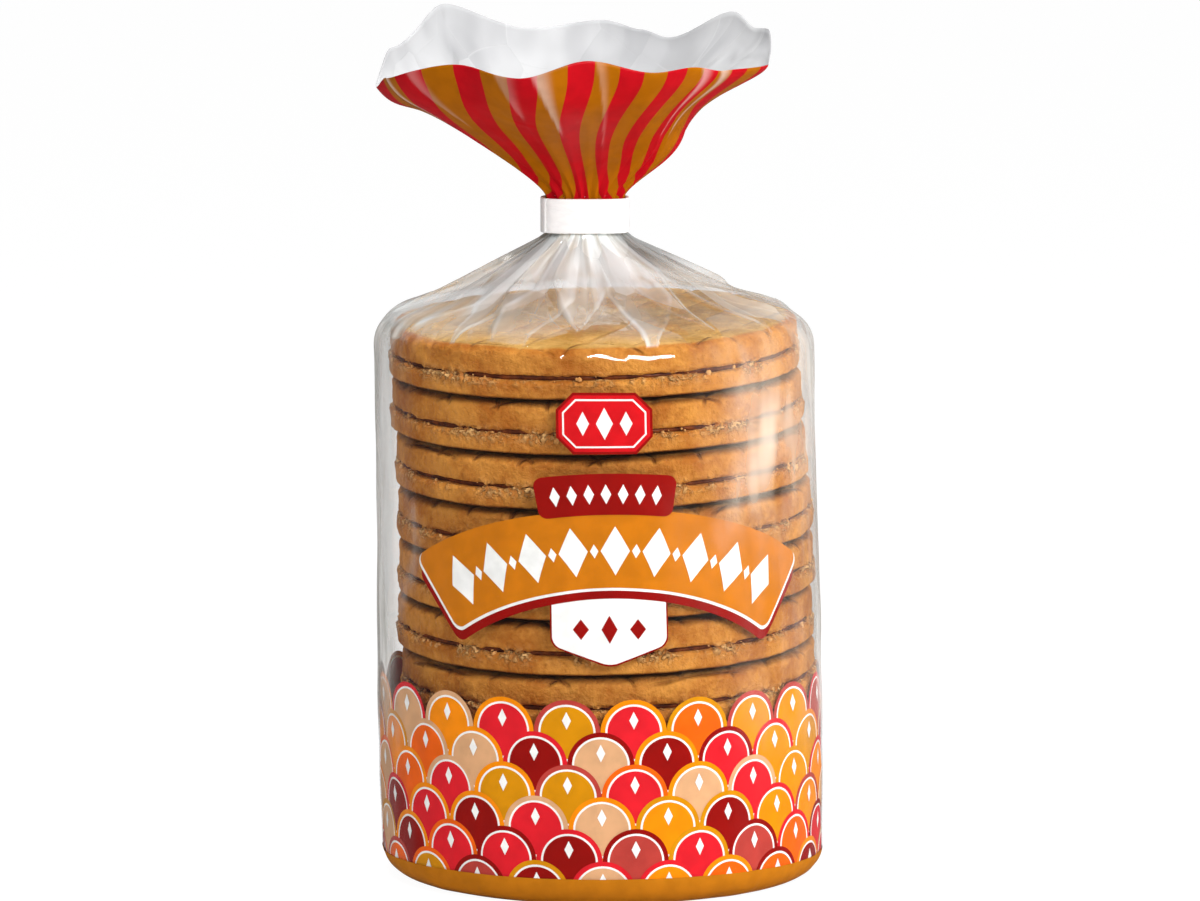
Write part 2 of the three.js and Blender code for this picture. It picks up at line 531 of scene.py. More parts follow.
# Other colours, as pairs from dark to light where they vary
STRIPE_COLOURS = (shade(190, 14, 26), shade(172, 98, 4))
# Painted highlight beside the frill's creases, partly fold whitening
GLEAM_COLOUR = (1, 0.94, 0.88, 1)
LINING_COLOURS = ((0.43, 0.43, 0.44, 1), (0.62, 0.62, 0.625, 1))
# Painted highlight along the lining's creases
LINING_HIGHLIGHT_COLOUR = (0.82, 0.82, 0.82, 1)
FOLD_TINTS = ((0.68, 0.72, 0.71, 1), (0.93, 0.975, 0.96, 1))
SIDE_TINTS = ((0.5, 0.49, 0.44, 1), (0.95, 0.94, 0.9, 1))
# Warm tint of the veils' painted reflection
REFLECTION_VEIL_TINT = (0.93, 0.8, 0.66, 1)
SHADED_TINT = (0.3, 0.31, 0.305, 1)
CLEAR_TINT = (0.985, 0.985, 0.98, 1)
FILM_SHADOW_TINT = (0.97, 0.97, 0.965, 1)
RIM_SKIN = (shade(172, 99, 29), shade(217, 148, 64))
# The top face's own yellower skin, also painted lighter against the shade of the milky film above it
TOP_SKIN_PAINTED_LIGHTER = (shade(196, 150, 72), shade(234, 190, 112))
TORN_DOUGH = (shade(186, 120, 58), shade(238, 186, 120))
# Painted shade in the gaps between cookies
GAP_SHADE_COLOUR = shade(88, 42, 10)
# Painted shade in the scored lines
SCORE_SHADE_COLOUR = shade(104, 50, 14)
CRUMB_COLOURS = (shade(202, 140, 76), shade(236, 186, 122))
SYRUP_COLOURS = (shade(78, 32, 10), shade(126, 62, 22))
TAPE_COLOURS = ((0.88, 0.88, 0.88, 1), (0.93, 0.93, 0.925, 1))
WHITE = (1, 1, 1, 1)

# The film's finish: how far its facets stretch and tilt, how milky they are, and its gloss
FACET_STRETCH = (3.2, 3.2, 5.0)
FACET_LINE_WIDTH = 0.03
FACET_TILT = 2.4
FACET_MILK = 0.22
FACET_LINE = 0.13
STREAK_LIMITS = (0.34, 0.66)
MILK_RANGE = (0.42, 1.4)
EDGE_ON_POWER = 3.0
FILM_INDEX = 1.35
MOST_GLOSS = 0.2
WRINKLE_WIDTH = 0.06
WRINKLE_HEIGHT = 0.1

# The finishes of the frill and of the biscuit
# How strong the painted highlight beside the frill's creases is
GLEAM_STRENGTH = 0.42
LINING_FACET_SHARE = 0.3
# LINING_CREASE: how strong the painted highlight along the lining's creases is
LINING_CREASE = 0.28
LINING_FACET_TILT = 0.8
FINE_TONE_SHARE = 0.38
GRAIN_HEIGHT = 0.4
# How dark the painted shade in the gaps between cookies is
GAP_SHADE_STRENGTH = 0.75
# How dark the painted shade in the scored lines is
SCORE_SHADE_STRENGTH = 0.65
SCORED_RELIEF = -0.8
SCORED_WIDTHS = (0.012, 0.05)
TORN_RELIEF = 1.6

# The studio: the surround as it lights and as it shows in gloss, the floor, and the camera
SURROUND_LIGHT = 0.28
SURROUND_SHINE = 0.16
FLOOR_HALF_SIZE = 6
FLOOR_LIGHTING = (0.7, 0.7, 0.7, 1)
FLOOR_SEEN = (0.1, 0.1, 0.1, 1)
FLOOR_GLOW = 0.96
CAMERA_REACH = 2.0
CAMERA_ELEVATION = math.radians(8)
CAMERA_AIM = Vector((0.0003, 0, 0.091))
CAMERA_VIEW_WIDTH = 0.2576
CAMERA_SENSOR = 36
CAMERA_NEAREST = 0.05

# Soft lights that show in no reflection: name, place, width, height and watts
LIGHTS_AIM = (0, 0, 0.09)
SOFT_LIGHTS = (
    ("key", (0.45, -0.75, 0.6), 0.45, 0.45, 7.0),
    ("right_strip", (0.75, -0.1, 0.16), 0.12, 0.6, 3.4),
    ("left_strip", (-0.6, -0.5, 0.16), 0.08, 0.6, 1.1),
    ("top", (-0.1, -0.05, 0.8), 0.5, 0.5, 3.7),
)

# A light that shows only in reflections, as a bright streak on the film's brow
GLARE = ("glare", (0.24, -0.62, 0.5), 0.8, 0.12, 14.0)
GLARE_AIM = (0, -0.04, 0.118)
GLARE_ROLL = math.radians(9)


# Small sums


def clamp(value, low=0.0, high=1.0):
    return min(max(value, low), high)


def ease(value, low, high):
    """A smooth step from 0 at low to 1 at high"""
    share = clamp((value - low) / (high - low))
    return share * share * (3 - 2 * share)


def arch(share):
    """0 at both ends of a stretch and 1 half way along it"""
    return math.sin(math.pi * share)


def hump(off, spread):
    """1 in the middle, falling away smoothly to both sides"""
    return math.exp(-((off / spread) ** 2))


def wrap(angle):
    """The same angle, between minus half a turn and half a turn"""
    return (angle + math.pi) % TURN - math.pi


def wave(waves, angle):
    """The sum of several waves round the pack"""
    return sum(share * math.cos(ridges * angle + math.radians(phase)) for ridges, share, phase in waves)


def arc(across, up, radius, start, end, steps):
    """Points of an arc about (across, up), from one angle in degrees to another"""
    angles = [math.radians(start + (end - start) * step / steps) for step in range(steps + 1)]
    return [(across + radius * math.cos(angle), up + radius * math.sin(angle)) for angle in angles]


def line(start, end, steps):
    """Points of a straight line, without its ends"""
    shares = [step / steps for step in range(1, steps)]
    return [tuple(a + (b - a) * share for a, b in zip(start, end)) for share in shares]


def bend(points, steps):
    """Points of the Bezier curve that three or four points pull, without its start"""
    found = []
    for step in range(1, steps + 1):
        row = [Vector(point) for point in points]
        while len(row) > 1:
            row = [a.lerp(b, step / steps) for a, b in zip(row, row[1:])]
        found.append(tuple(row[0]))
    return found


def rough(point, size, seed=0.0):
    """Smooth noise from -1 to 1 with bumps of a size"""
    return noise.noise(Vector(point) / size + Vector((seed, seed * 0.7, -seed)))


def lumpy(point, lumps, seed):
    """Noise of several sizes, each with its depth"""
    return sum(depth * rough(point, size, seed) for size, depth in lumps)


# Nodes


def add(tree, kind, settings=None, **inputs):
    """A shader node with its settings, and its inputs set to values or linked to other nodes' outputs"""
    made = tree.nodes.new("ShaderNode" + kind)
    for name, value in (settings or {}).items():
        setattr(made, name, value)
    for name, value in inputs.items():
        feed(tree, made.inputs[name.replace("_", " ")], value)
    return made


def feed(tree, socket, value):
    if isinstance(value, bpy.types.NodeSocket):
        tree.links.new(value, socket)
    else:
        socket.default_value = value


def feed_all(tree, sockets, values):
    for socket, value in zip(sockets, values):
        feed(tree, socket, value)


def sum_of(tree, operation, first, second=0.0, third=0.0, limit=False):
    """A Math node's output"""
    made = add(tree, "Math", {"operation": operation, "use_clamp": limit})
    feed_all(tree, made.inputs, (first, second, third))
    return made.outputs[0]


def vector_sum(tree, operation, first, second, output="Vector"):
    """A Vector Math node's output"""
    made = add(tree, "VectorMath", {"operation": operation})
    feed_all(tree, made.inputs, (first, second))
    return made.outputs[output]


def between(tree, value, low, high, to_low=0.0, to_high=1.0):
    """A value's place between two limits, as a smooth step from one number to another"""
    made = add(tree, "MapRange", {"interpolation_type": "SMOOTHSTEP"})
    feed_all(tree, made.inputs, (value, low, high, to_low, to_high))
    return made.outputs[0]


def blend(tree, share, first, second):
    """A number between two others"""
    made = add(tree, "Mix", Factor=share)
    feed_all(tree, made.inputs[2:4], (first, second))
    return made.outputs[0]


def blend_colours(tree, share, first, second, way="MIX"):
    made = add(tree, "Mix", {"data_type": "RGBA", "blend_type": way})
    feed_all(tree, (made.inputs[0], made.inputs[6], made.inputs[7]), (share, first, second))
    return made.outputs[2]


def speckle(tree, where, size, detail=3.0, roughness=0.55, stretch=(1, 1, 1)):
    """Noise with lumps of a size"""
    placed = add(tree, "Mapping", Vector=where, Scale=[part / size for part in stretch])
    made = add(tree, "TexNoise", Vector=placed.outputs[0], Scale=1.0, Detail=detail, Roughness=roughness)
    return made.outputs[0]


def patches(tree, where, size, low, high, **kind):
    """A mask of soft-edged patches of noise"""
    return between(tree, speckle(tree, where, size, **kind), low, high)


def object_place(tree):
    return add(tree, "TexCoord").outputs["Object"]


def attribute(tree, name, output="Fac"):
    return add(tree, "Attribute", {"attribute_name": name}).outputs[output]


def bump(tree, height, distance):
    return add(tree, "Bump", Height=height, Distance=distance, Strength=1.0).outputs[0]


def mixed(tree, share, first, second):
    """A shader that turns from one into another"""
    made = add(tree, "MixShader", Fac=share)
    feed_all(tree, made.inputs[1:3], (first.outputs[0], second.outputs[0]))
    return made


def new_group(name, inputs, outputs):
    """An empty shader node group with its sockets, and the nodes for its two ends"""
    tree = bpy.data.node_groups.new(name, "ShaderNodeTree")
    for label, kind in inputs:
        tree.interface.new_socket(label, in_out="INPUT", socket_type="NodeSocket" + kind)
    for label, kind in outputs:
        tree.interface.new_socket(label, in_out="OUTPUT", socket_type="NodeSocket" + kind)
    return tree, tree.nodes.new("NodeGroupInput"), tree.nodes.new("NodeGroupOutput")


def place_group(tree, group, **inputs):
    made = tree.nodes.new("ShaderNodeGroup")
    made.node_tree = group
    for name, value in inputs.items():
        feed(tree, made.inputs[name], value)
    return made


def film_crinkle_group():
    """Height of the soft dents and long faint creases that thin film has"""
    tree, start, end = new_group("film_crinkle", [("Place", "Vector")], [("Height", "Float")])
    where = start.outputs["Place"]
    dents = speckle(tree, where, size=0.03, detail=1.0, stretch=(1, 1, 0.5))
    wrinkles = speckle(tree, where, size=0.022, detail=1.5, stretch=(1, 1, 0.35))
    ridge = sum_of(tree, "ABSOLUTE", sum_of(tree, "SUBTRACT", wrinkles, 0.5))
    crease = between(tree, ridge, 0.0, WRINKLE_WIDTH, 1.0, 0.0)
    height = sum_of(tree, "MULTIPLY_ADD", crease, WRINKLE_HEIGHT, dents)
    tree.links.new(height, end.inputs["Height"])
    return tree


def film_facets_group():
    """Straight-sided facets of crumpled film: how milky each is, the lines between them, and their tilt"""
    outputs = [("Milk", "Float"), ("Line", "Float"), ("Height", "Float")]
    tree, start, end = new_group("film_facets", [("Flow", "Vector")], outputs)
    placed = add(tree, "Mapping", Vector=start.outputs["Flow"], Scale=FACET_STRETCH).outputs[0]
    cells = add(tree, "TexVoronoi", {"feature": "F1"}, Vector=placed, Scale=1.0)
    borders = add(tree, "TexVoronoi", {"feature": "DISTANCE_TO_EDGE"}, Vector=placed, Scale=1.0)
    chance = add(tree, "SeparateXYZ", Vector=cells.outputs["Color"])
    broken = patches(tree, placed, size=0.8, low=0.45, high=0.65, detail=1.0)
    border = between(tree, borders.outputs["Distance"], 0.0, FACET_LINE_WIDTH, 1.0, 0.0)
    line_share = sum_of(tree, "MULTIPLY", border, broken)
    away = vector_sum(tree, "SUBTRACT", placed, cells.outputs["Position"])
    slope = vector_sum(tree, "SUBTRACT", cells.outputs["Color"], (0.5, 0.5, 0.5))
    tilt = vector_sum(tree, "DOT_PRODUCT", away, slope, "Value")
    milk = between(tree, chance.outputs[0], low=0.5, high=0.95)
    tree.links.new(milk, end.inputs["Milk"])
    tree.links.new(sum_of(tree, "MULTIPLY", line_share, chance.outputs[1]), end.inputs["Line"])
    tree.links.new(tilt, end.inputs["Height"])
    return tree


def crumb_group():
    """Grain of baked dough: a tone that changes over the surface, and a height"""
    tree, start, end = new_group("crumb", [("Place", "Vector")], [("Tone", "Float"), ("Height", "Float")])
    where = start.outputs["Place"]
    broad = speckle(tree, where, size=0.009, detail=2.0)
    fine = speckle(tree, where, size=0.0015, detail=4.0, roughness=0.6)
    broad_tone = sum_of(tree, "MULTIPLY", broad, 1 - FINE_TONE_SHARE)
    tone = sum_of(tree, "MULTIPLY_ADD", fine, FINE_TONE_SHARE, broad_tone)
    grain = speckle(tree, where, size=0.0006)
    height = sum_of(tree, "MULTIPLY_ADD", grain, GRAIN_HEIGHT, fine)
    tree.links.new(tone, end.inputs["Tone"])
    tree.links.new(height, end.inputs["Height"])
    return tree


# Materials


def new_material(name):
    material = bpy.data.materials.new(name)
    material.use_nodes = True
    tree = material.node_tree
    tree.nodes.clear()
    return material, tree, tree.nodes.new("ShaderNodeOutputMaterial")


def surface(tree, output, **inputs):
    """Ends a material in one Principled shader"""
    made = add(tree, "BsdfPrincipled", **inputs)
    tree.links.new(made.outputs[0], output.inputs[0])


def film_cover(tree, facet, flow, pleated):
    """How much milk covers the clear film: in streaks, in facets, and where it is seen edge on"""
    side_streaks = speckle(tree, flow, size=1.0, detail=2.0, stretch=(5, 5, 2.8))
    fold_streaks = speckle(tree, flow, size=1.0, detail=2.0, stretch=(5, 5, 1.6))
    streaks = blend(tree, pleated, side_streaks, fold_streaks)
    milk = between(tree, streaks, *STREAK_LIMITS, *MILK_RANGE)
    haze = sum_of(tree, "MULTIPLY", attribute(tree, "haze"), milk)
    crumple = sum_of(tree, "MULTIPLY", facet.outputs["Line"], FACET_LINE)
    marks = sum_of(tree, "MULTIPLY_ADD", facet.outputs["Milk"], FACET_MILK, crumple)
    lines = sum_of(tree, "MULTIPLY", marks, pleated)
    facing = add(tree, "LayerWeight", Blend=0.25).outputs["Facing"]
    grazed = sum_of(tree, "POWER", facing, EDGE_ON_POWER)
    edge_on = sum_of(tree, "MULTIPLY", grazed, attribute(tree, "edge_milk"))
    return sum_of(tree, "ADD", haze, sum_of(tree, "ADD", lines, edge_on), limit=True)


def film_tint(tree, flow, pleated, shaded):
    """The colour of the film's milk: grey streaks on the body, cooler ones in the pleats, warm veils of
    painted reflection, and painted shade at the sides of the neck
    """
    fold_grey = patches(tree, flow, size=1.0, low=0.38, high=0.6, detail=1.0, stretch=(3.4, 3.4, 2.0))
    side_grey = patches(tree, flow, size=1.0, low=0.4, high=0.62, detail=2.0, stretch=(9, 9, 2.0))
    fold_tint = blend_colours(tree, fold_grey, *FOLD_TINTS)
    side_tint = blend_colours(tree, side_grey, *SIDE_TINTS)
    body_tint = blend_colours(tree, attribute(tree, "reflection_veiled"), side_tint, REFLECTION_VEIL_TINT)
    bright_tint = blend_colours(tree, pleated, body_tint, fold_tint)
    return blend_colours(tree, shaded, bright_tint, SHADED_TINT)


def clear_film_material(crinkle, facets):
    """Thin clear film: see-through, glossy, and milky where it is pleated or seen edge on"""
    material, tree, output = new_material("clear_film")
    pleated = attribute(tree, "pleated")
    shaded = attribute(tree, "shaded")
    flow = attribute(tree, "flow", "Vector")
    facet = place_group(tree, facets, Flow=flow)
    height = place_group(tree, crinkle, Place=object_place(tree)).outputs["Height"]
    tilt = sum_of(tree, "MULTIPLY", pleated, FACET_TILT)
    folded = sum_of(tree, "MULTIPLY", facet.outputs["Height"], tilt)
    normal = bump(tree, sum_of(tree, "ADD", height, folded), distance=0.0014)

    tint = film_tint(tree, flow, pleated, shaded)
    clear = add(tree, "BsdfTransparent", Color=CLEAR_TINT)
    milky = add(
        tree, "BsdfPrincipled", Base_Color=tint, Roughness=0.45, Specular_IOR_Level=0.1, Normal=normal
    )
    film = mixed(tree, film_cover(tree, facet, flow, pleated), clear, milky)

    gloss = add(tree, "BsdfGlossy", Color=WHITE, Roughness=0.05, Normal=normal)
    mirror = add(tree, "Fresnel", IOR=FILM_INDEX, Normal=normal)
    limited = sum_of(tree, "MINIMUM", mirror.outputs[0], MOST_GLOSS)
    shine = sum_of(tree, "MULTIPLY", limited, sum_of(tree, "SUBTRACT", 1.0, shaded))
    shiny = mixed(tree, shine, film, gloss)

    path = add(tree, "LightPath")
    passing = add(tree, "BsdfTransparent", Color=FILM_SHADOW_TINT)
    lit = mixed(tree, path.outputs["Is Shadow Ray"], shiny, passing)
    tree.links.new(lit.outputs[0], output.inputs[0])
    return material


def printed_film(name, crinkle, colour_of, gloss=0.0):
    """Film with ink under its gloss, coloured by a function of the node tree"""
    material, tree, output = new_material(name)
    place = object_place(tree)
    height = place_group(tree, crinkle, Place=place).outputs["Height"]
    mottle = speckle(tree, place, size=0.004, detail=4.0)
    tint = between(tree, mottle, low=0.3, high=0.7, to_low=0.9, to_high=1.04)
    colour = blend_colours(tree, 1.0, colour_of(tree), tint, "MULTIPLY")
    surface(
        tree, output, Base_Color=colour, Roughness=0.38, Specular_IOR_Level=0.02, Coat_Weight=gloss,
        Coat_Roughness=0.12, Normal=bump(tree, height, distance=0.001)
    )
    return material


def ink_material(name, crinkle):
    return printed_film("ink_" + name, crinkle, lambda tree: INKS[name])


def stripes(tree):
    """Red and ochre stripes that follow the frill's measure across it, paler along its creases with painted
    highlight
    """
    share = sum_of(tree, "FRACT", attribute(tree, "stripe"))
    ochre = sum_of(tree, "GREATER_THAN", share, 0.5)
    bands = blend_colours(tree, ochre, *STRIPE_COLOURS)
    # Painted highlight beside the creases
    pale = sum_of(tree, "MULTIPLY", attribute(tree, "fold_gleamed"), GLEAM_STRENGTH)
    return blend_colours(tree, pale, bands, GLEAM_COLOUR)


def frill_lining_material(crinkle, facets):
    """The white back of the printed film, crumpled into paler and greyer facets, with painted highlights
    along its creases
    """
    material, tree, output = new_material("frill_lining")
    place = object_place(tree)
    height = place_group(tree, crinkle, Place=place).outputs["Height"]
    facet = place_group(tree, facets, Flow=attribute(tree, "flow", "Vector"))
    soft = patches(tree, place, size=0.016, low=0.36, high=0.64, detail=2.0, stretch=(1, 1, 0.5))
    soft_tone = sum_of(tree, "MULTIPLY", soft, 1 - LINING_FACET_SHARE)
    tone = sum_of(tree, "MULTIPLY_ADD", facet.outputs["Milk"], LINING_FACET_SHARE, soft_tone)
    colour = blend_colours(tree, tone, *LINING_COLOURS)
    # Painted highlights along the creases
    ridge = sum_of(tree, "MULTIPLY", facet.outputs["Line"], LINING_CREASE)
    highlighted = blend_colours(tree, ridge, colour, LINING_HIGHLIGHT_COLOUR)
    relief = sum_of(tree, "MULTIPLY_ADD", facet.outputs["Height"], LINING_FACET_TILT, height)
    normal = bump(tree, relief, distance=0.0024)
    surface(tree, output, Base_Color=highlighted, Roughness=0.3, Specular_IOR_Level=0.02, Normal=normal)
    return material


def scored_lines(tree):
    """A mask of the crossed lines scored in the lid, from the cookie's own counts of them"""
    parts = add(tree, "SeparateXYZ", Vector=attribute(tree, "lattice", "Vector"))
    masks = []
    for count in parts.outputs[:2]:
        ahead = sum_of(tree, "FRACT", sum_of(tree, "ADD", count, 0.5))
        off = sum_of(tree, "ABSOLUTE", sum_of(tree, "SUBTRACT", ahead, 0.5))
        masks.append(between(tree, off, *SCORED_WIDTHS, 1.0, 0.0))
    return sum_of(tree, "MULTIPLY", sum_of(tree, "MAXIMUM", *masks), parts.outputs[2])


def biscuit_material(crumb):
    """Golden baked biscuit, browner on its skin, with its top face painted lighter, pale and pitted where it
    is torn at the seam, and darkened by painted shade in the gaps between cookies and in the scored lines
    """
    material, tree, output = new_material("biscuit")
    place = object_place(tree)
    grain = place_group(tree, crumb, Place=place)
    torn = attribute(tree, "torn")
    tone = between(tree, grain.outputs["Tone"], low=0.32, high=0.68)
    rim_skin = blend_colours(tree, tone, *RIM_SKIN)
    # The top face's yellower skin, also painted lighter against the film's shade
    lighter_top_skin = blend_colours(tree, tone, *TOP_SKIN_PAINTED_LIGHTER)
    skin = blend_colours(tree, attribute(tree, "crown"), rim_skin, lighter_top_skin)
    lumps = patches(tree, place, size=0.0011, low=0.42, high=0.6, detail=2.0)
    edged = blend_colours(tree, torn, skin, blend_colours(tree, lumps, *TORN_DOUGH))
    # Painted shade in the gaps between cookies, where the next cookie covers a lid's edge and under each
    # base
    gap = sum_of(tree, "MULTIPLY", attribute(tree, "gap_shade"), GAP_SHADE_STRENGTH)
    gap_shaded = blend_colours(tree, gap, edged, GAP_SHADE_COLOUR)
    unworn = patches(tree, place, size=0.007, low=0.4, high=0.62)
    lines = sum_of(tree, "MULTIPLY", scored_lines(tree), unworn)
    # Painted shade darkens the scored lines
    scored = blend_colours(tree, sum_of(tree, "MULTIPLY", lines, SCORE_SHADE_STRENGTH), gap_shaded, SCORE_SHADE_COLOUR)
    coarse = sum_of(tree, "MULTIPLY", torn, sum_of(tree, "MULTIPLY", lumps, TORN_RELIEF))
    pitted = sum_of(tree, "ADD", coarse, grain.outputs["Height"])
    relief = sum_of(tree, "MULTIPLY_ADD", lines, SCORED_RELIEF, pitted)
    normal = bump(tree, relief, distance=0.0007)
    surface(tree, output, Base_Color=scored, Roughness=0.6, Specular_IOR_Level=0.08, Normal=normal)
    return material


def crumbs_material(crumb):
    """Loose pale crumbs along the seams"""
    material, tree, output = new_material("loose_crumbs")
    grain = place_group(tree, crumb, Place=object_place(tree))
    tone = between(tree, grain.outputs["Tone"], low=0.3, high=0.75)
    colour = blend_colours(tree, tone, *CRUMB_COLOURS)
    normal = bump(tree, grain.outputs["Height"], distance=0.0005)
    surface(tree, output, Base_Color=colour, Roughness=0.85, Specular_IOR_Level=0.08, Normal=normal)
    return material


def syrup_material():
    """Dark set syrup with a sticky shine"""
    material, tree, output = new_material("syrup")
    tone = speckle(tree, object_place(tree), size=0.003)
    colour = blend_colours(tree, between(tree, tone, low=0.35, high=0.65), *SYRUP_COLOURS)
    normal = bump(tree, tone, distance=0.0006)
    surface(tree, output, Base_Color=colour, Roughness=0.45, Specular_IOR_Level=0.12, Normal=normal)
    return material


def tape_material():
    """White satin tape with a faint grain along it"""
    material, tree, output = new_material("tape")
    grain = speckle(tree, object_place(tree), size=0.0012, detail=2.0, stretch=(0.5, 0.5, 1.2))
    colour = blend_colours(tree, between(tree, grain, low=0.3, high=0.7), *TAPE_COLOURS)
    normal = bump(tree, grain, distance=0.0001)
    surface(tree, output, Base_Color=colour, Roughness=0.4, Specular_IOR_Level=0.1, Normal=normal)
    return material


# Pieces


def turned(points, steps):
    """A mesh turned about the upright axis from half of its section: one wedge, then copies of it"""
    bm = bmesh.new()
    verts = [bm.verts.new((radius, 0, height)) for radius, height in points]
    edges = [bm.edges.new(pair) for pair in zip(verts, verts[1:])]
    upright = {"cent": (0, 0, 0), "axis": (0, 0, 1)}
    wedge = TURN / WEDGES
    bmesh.ops.spin(bm, geom=verts + edges, angle=wedge, steps=steps // WEDGES, **upright)
    geom = bm.verts[:] + bm.edges[:] + bm.faces[:]
    bmesh.ops.spin(
        bm, geom=geom, angle=TURN - wedge, steps=WEDGES - 1, use_duplicate=True, **upright
    )
    bmesh.ops.remove_doubles(bm, verts=bm.verts, dist=1e-4)
    bmesh.ops.recalc_face_normals(bm, faces=bm.faces)
    return bm


def round_place(vert):
    """A point's angle round the pack, its distance from the middle and its height"""
    return math.atan2(vert.co.x, -vert.co.y), math.hypot(vert.co.x, vert.co.y), vert.co.z


def new_marks(bm, *names):
    """Attributes that hold a number for each point"""
    return [bm.verts.layers.float.new(name) for name in names]


def join(bm, other):
    """Adds another mesh to a mesh"""
    mesh = bpy.data.meshes.new("join")
    other.to_mesh(mesh)
    other.free()
    bm.from_mesh(mesh)
    bpy.data.meshes.remove(mesh)


def finish(bm, name, slot, *materials, node="bag"):
    """Makes a piece of a mesh in millimetres: in its place, in metres, standing for a node of the frame"""
    bmesh.ops.scale(bm, vec=(MM, MM, MM), verts=bm.verts)
    mesh = bpy.data.meshes.new(name)
    bm.to_mesh(mesh)
    bm.free()
    mesh.shade_smooth()
    for material in materials:
        mesh.materials.append(material)
    piece = bpy.data.objects.new(name, mesh)
    bpy.context.scene.collection.objects.link(piece)
    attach(piece, "root")
    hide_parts(node)
    return piece


# The film's shape


class Pleat(NamedTuple):
    """A dart of folded film on the shoulder, widening with straight edges from its tip in to the neck"""

    angle: float
    tip_radius: float
    foot: float
    slope: float
    skew: float
    lift: float
    side: int


def draw_pleats():
    draw = random.Random(PLEAT_SEED)
    pleats = []
    for turn, tip, foot in PLEAT_PLACES:
        tip_radius = BODY_RADIUS + (NECK_RADIUS - BODY_RADIUS) * tip
        slope = draw.uniform(*PLEAT_SLOPES)
        skew = draw.uniform(*PLEAT_SKEWS)
        lift = draw.uniform(*PLEAT_LIFTS)
        side = draw.choice((-1, 1))
        pleats.append(Pleat(math.radians(turn), tip_radius, foot, slope, skew, lift, side))
    return pleats


PLEATS = draw_pleats()


def pleat_relief(angle, along):
    """How far the pleats lift the film, how milky they make it, and how near a crease is"""
    radius = BODY_RADIUS + (NECK_RADIUS - BODY_RADIUS) * along
    lift = 0.0
    milk = 0.0
    crease = 0.0
    for pleat in PLEATS:
        turn = wrap(angle - pleat.angle)
        inward = pleat.tip_radius - radius * math.cos(turn)
        if abs(turn) > PLEAT_WIDEST_TURN or inward <= 0:
            continue
        reach = min(inward / (pleat.tip_radius - NECK_RADIUS), 1)
        half = min(pleat.foot + pleat.slope * inward, PLEAT_WIDEST * radius)
        place = (radius * math.sin(turn) - pleat.skew * inward * (1 - reach)) * pleat.side / half
        if abs(place) >= 1:
            continue
        rising = (place + 1) / (PLEAT_CREASE + 1)
        falling = (1 - place) / (1 - PLEAT_CREASE)
        lift += pleat.lift * arch(min(reach, PLEAT_END)) ** ARCH_POWER * min(rising, falling)
        milk += PLEAT_MILK + PLEAT_MILK_RISE * min(rising, falling)
        ridge = ease(1 - abs(place - PLEAT_CREASE) * half / PLEAT_LINE, 0, 1)
        start = ease(1 - abs(place + PLEAT_START) * half / PLEAT_LINE, 0, 1)
        hem = ease(1 - inward / PLEAT_LINE, 0, 1)
        crease = max(crease, ridge, PLEAT_START_LINE * start, PLEAT_HEM_LINE * hem)
    return lift, milk, crease


def along_shoulder(radius):
    """The way from the body in to the neck, from 0 to 1"""
    return clamp((BODY_RADIUS - radius) / (BODY_RADIUS - NECK_RADIUS))


def flare_at(height):
    """The way up the frill, from 0 at the tape to 1 at the rim"""
    return clamp((height - BAND_TOP) / FRILL_HEIGHT)


def lean_at(height):
    """How far to the right the leaning body's middle lies"""
    return BODY_LEAN * (0.5 - height / STACK_TOP)


def body_radius(height):
    """The body's radius, which turns in at the base corner"""
    sink = max(BASE_CORNER - height, 0)
    return BODY_RADIUS - BASE_CORNER + math.sqrt(BASE_CORNER**2 - sink**2)


def slack(angle, height):
    """How far the loose film of the body stands out of round"""
    spot = (math.sin(angle), math.cos(angle), height / SLACK_STRETCH)
    fine = FINE_SLACK_SHARE * rough(spot, FINE_SLACK_SIZE, FINE_SLACK_SEED)
    low = hump(height - FOOT_BULGE_HEIGHT, FOOT_BULGE_REACH)
    return SLACK_DEPTH * (rough(spot, SLACK_SIZE, SLACK_SEED) + fine) + FOOT_BULGE * low


def pucker(angle, height):
    """How far small upright gathers over the stack's edge move the film out, and how far they move it up"""
    near = hump(height - PUCKER_HEIGHT, PUCKER_REACH)
    spot = (math.sin(angle), math.cos(angle), height / PUCKER_STRETCH)
    ridge = 1 - 2 * abs(rough(spot, PUCKER_SIZE, PUCKER_SEED))
    return PUCKER_DEPTH * near * (ridge - 0.5), BROW_RISE * near * rough(spot, BROW_SIZE, BROW_SEED)


def rim_rise(angle):
    """How far the frill's rim rises or falls, between the crests and troughs that are given for it"""
    start = RIM_CRESTS[0][0]
    turn = (math.degrees(angle) - start) % 360 + start
    crests = [*RIM_CRESTS, (start + 360, RIM_CRESTS[0][1])]
    for (here, rise), (there, next_rise) in zip(crests, crests[1:]):
        if turn <= there:
            return rise + (next_rise - rise) * ease(turn, here, there)
    return crests[-1][1]


class Crease(NamedTuple):
    """A crease up the frill, with a pale streak of painted highlight, partly fold whitening, that widens
    from its tip to the rim
    """

    angle: float
    width: float
    height: float
    tip: float
    fold_gleam: float


def draw_creases():
    draw = random.Random(CREASE_SEED)
    spacing = TURN / CREASE_COUNT
    creases = []
    for number in range(CREASE_COUNT):
        angle = (number + draw.uniform(-CREASE_PLAY, CREASE_PLAY)) * spacing
        width = draw.uniform(*CREASE_WIDTHS)
        height = draw.uniform(*CREASE_HEIGHTS)
        tip = draw.uniform(*CREASE_TIPS)
        creases.append(Crease(angle, width, height, tip, draw.random()))
    return creases


CREASES = draw_creases()


